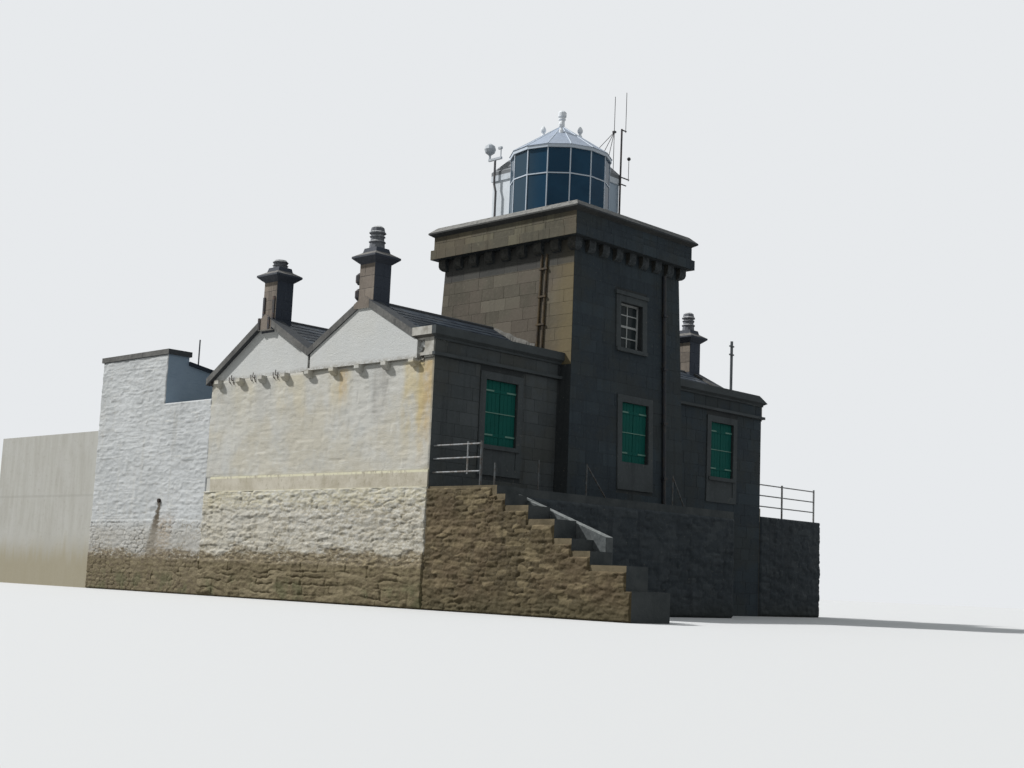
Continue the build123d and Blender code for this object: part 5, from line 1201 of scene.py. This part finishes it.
def slates(pile, low_edge, high_edge, x0, x1, skip):
    """Slates in courses between two (y, z) edges of a roof slope, with staggered joints."""
    eaves = Vector((0, *low_edge))
    up = Vector((0, *high_edge)) - eaves
    run = up.length
    up.normalize()
    out = Vector((0, -up.z, up.y)) if up.y > 0 else Vector((0, up.z, -up.y))
    for row in range(int(run / SLATE_GAUGE)):
        bottom = eaves + up * (row * SLATE_GAUGE)
        top = eaves + up * min(run, (row + 1) * SLATE_GAUGE + SLATE_LAP)
        y = (bottom.y + top.y) / 2
        x = x0 - (row % 2) * SLATE_WIDTH / 2
        while x < x1:
            left, right = max(x, x0), min(x + SLATE_WIDTH, x1)
            x += SLATE_WIDTH
            middle = (left + right) / 2
            gone = any(s0 < middle < s1 and t0 < y < t1 for s0, s1, t0, t1 in skip)
            if gone or right - left < 0.03:
                continue
            lift = out * rng.uniform(0.010, 0.016)
            foot = bottom + up * rng.uniform(-0.006, 0.006)
            verts = [Vector((side, 0, 0)) + edge for edge in (foot, foot + lift, top + out * 0.002)
                     for side in (left + SLATE_GAP, right - SLATE_GAP)]
            pile.add(verts, [(0, 1, 3, 2), (2, 3, 5, 4), (0, 2, 4), (1, 5, 3)], rng.random())


front_ridge = (FRONT_RIDGE, FRONT_ROOF_HIGH.z)
rear_ridge = (REAR_RIDGE, REAR_ROOF_HIGH.z)
valley = (VALLEY, front_ridge[1] - FRONT_SLOPE * (VALLEY - FRONT_RIDGE))
front_eaves = (FRONT_ROOF_LOW.y, front_ridge[1] - FRONT_SLOPE * (FRONT_RIDGE - FRONT_ROOF_LOW.y))
rear_eaves = (REAR_ROOF_HIGH.y, rear_ridge[1] - REAR_SLOPE * (REAR_ROOF_HIGH.y - REAR_RIDGE))
x0, x1 = FRONT_ROOF_LOW.x, FRONT_ROOF_HIGH.x
tower_gap = (TOWER_X0 + 0.15, TOWER_X1 - 0.15, -9, VALLEY)
stacks = [(a, b, ridge - 0.35, ridge + 0.38) for ridge in (FRONT_RIDGE, REAR_RIDGE)
          for a, b in ((x0 - 1, x0 + STACK_REACH), (x1 - STACK_REACH, x1 + 1))]
pile = Pile()
for low_edge, high_edge, skip in ((front_eaves, front_ridge, [tower_gap] + stacks),
                                  (valley, front_ridge, [tower_gap] + stacks),
                                  (valley, rear_ridge, stacks), (rear_eaves, rear_ridge, stacks)):
    slates(pile, low_edge, high_edge, x0, x1, skip)
pile.piece("roof_slates", SLATE)

ridges = Pile()
ends = x0 + STACK_REACH, x1 - STACK_REACH
for (y, z), spans in ((front_ridge, ((ends[0], TOWER_X0 + 0.24), (TOWER_X1 - 0.24, ends[1]))),
                      (rear_ridge, (ends,))):
    z -= RIDGE_SUNK
    for a, b in spans:
        count = max(1, round((b - a) / RIDGE_TILE))
        for i in range(count):
            start, end = a + (b - a) * i / count + RIDGE_GAP, a + (b - a) * (i + 1) / count - RIDGE_GAP
            ridges.bar((start, y, z), (end, y, z), RIDGE_RADIUS, 10, rng.random())
ridges.piece("ridge_tiles", DARK_COPING)

# Camera

YAW, PITCH, ROLL = 0.805279341, 0.140766470, 0.0420645168
FOCAL_PIXELS = 1393.56
PICTURE_WIDTH = 1024
SENSOR = 36.0
CAMERA_PLACE = Vector((-30.597, -27.511, 0.767))
forward = Vector((math.sin(YAW) * math.cos(PITCH), math.cos(YAW) * math.cos(PITCH), math.sin(PITCH)))
level = Vector((math.cos(YAW), -math.sin(YAW), 0))
upright = level.cross(forward)
right = math.cos(ROLL) * level + math.sin(ROLL) * upright
up = -math.sin(ROLL) * level + math.cos(ROLL) * upright
camera_data = bpy.data.cameras.new("camera")
camera_data.sensor_width = SENSOR
camera_data.lens = FOCAL_PIXELS / PICTURE_WIDTH * SENSOR
camera_data.clip_end = 500
camera = bpy.data.objects.new("camera", camera_data)
camera.matrix_world = Matrix((*zip(right, up, -forward, CAMERA_PLACE), (0, 0, 0, 1)))
bpy.context.collection.objects.link(camera)
bpy.context.scene.camera = camera

# Light, background and floor

BACKDROP = (0.80, 0.82, 0.84, 1)
SKY_LIGHT = (0.90, 0.96, 1.0, 1)
SKY_STRENGTH = 0.44
SUN_DIRECTION = (0.424, -0.576, -0.699)
SUN_STRENGTH, SUN_ANGLE = 4.05, 3
FLOOR_SEEN = (0.60, 0.60, 0.595)
FLOOR_BOUNCE = (0.22, 0.22, 0.215)
FLOOR_REACH, FLOOR_LEVEL = 160, -0.002


def sun(name, direction, strength, angle):
    data = bpy.data.lights.new(name, "SUN")
    data.energy = strength
    data.angle = math.radians(angle)
    obj = bpy.data.objects.new(name, data)
    obj.rotation_mode = "QUATERNION"
    obj.rotation_quaternion = Vector(direction).to_track_quat("-Z", "Y")
    bpy.context.collection.objects.link(obj)


sun("key", SUN_DIRECTION, SUN_STRENGTH, SUN_ANGLE)


def seen(tree):
    """One for rays that see the background straight, in a gloss or through glass, and nought for light."""
    path = tree.nodes.new("ShaderNodeLightPath")
    result = path.outputs["Is Camera Ray"]
    for kind in ("Is Glossy Ray", "Is Transmission Ray"):
        either = tree.nodes.new("ShaderNodeMath")
        either.operation = "MAXIMUM"
        tree.links.new(result, either.inputs[0])
        tree.links.new(path.outputs[kind], either.inputs[1])
        result = either.outputs[0]
    return result


world = bpy.data.worlds.new("world")
bpy.context.scene.world = world
world.use_nodes = True
tree = world.node_tree
sky = tree.nodes["Background"]
sky.inputs["Color"].default_value = SKY_LIGHT
sky.inputs["Strength"].default_value = SKY_STRENGTH
backdrop = tree.nodes.new("ShaderNodeBackground")
backdrop.inputs["Color"].default_value = BACKDROP
choose = tree.nodes.new("ShaderNodeMixShader")
tree.links.new(seen(tree), choose.inputs[0])
tree.links.new(sky.outputs[0], choose.inputs[1])
tree.links.new(backdrop.outputs[0], choose.inputs[2])
tree.links.new(choose.outputs[0], tree.nodes["World Output"].inputs["Surface"])

floor_mesh = bpy.data.meshes.new("floor")
corners = [(FLOOR_REACH * x, FLOOR_REACH * y, FLOOR_LEVEL) for x, y in ((-1, -1), (1, -1), (1, 1), (-1, 1))]
floor_mesh.from_pydata(corners, [], [(0, 1, 2, 3)])
floor = bpy.data.objects.new("floor", floor_mesh)
s = Shader("floor_pale", roughness=0.9)
s.colour = s.mix(seen(s.tree), FLOOR_BOUNCE, FLOOR_SEEN)
floor_mesh.materials.append(s.finish())
bpy.context.collection.objects.link(floor)

scene = bpy.context.scene
scene.view_settings.view_transform = "Standard"
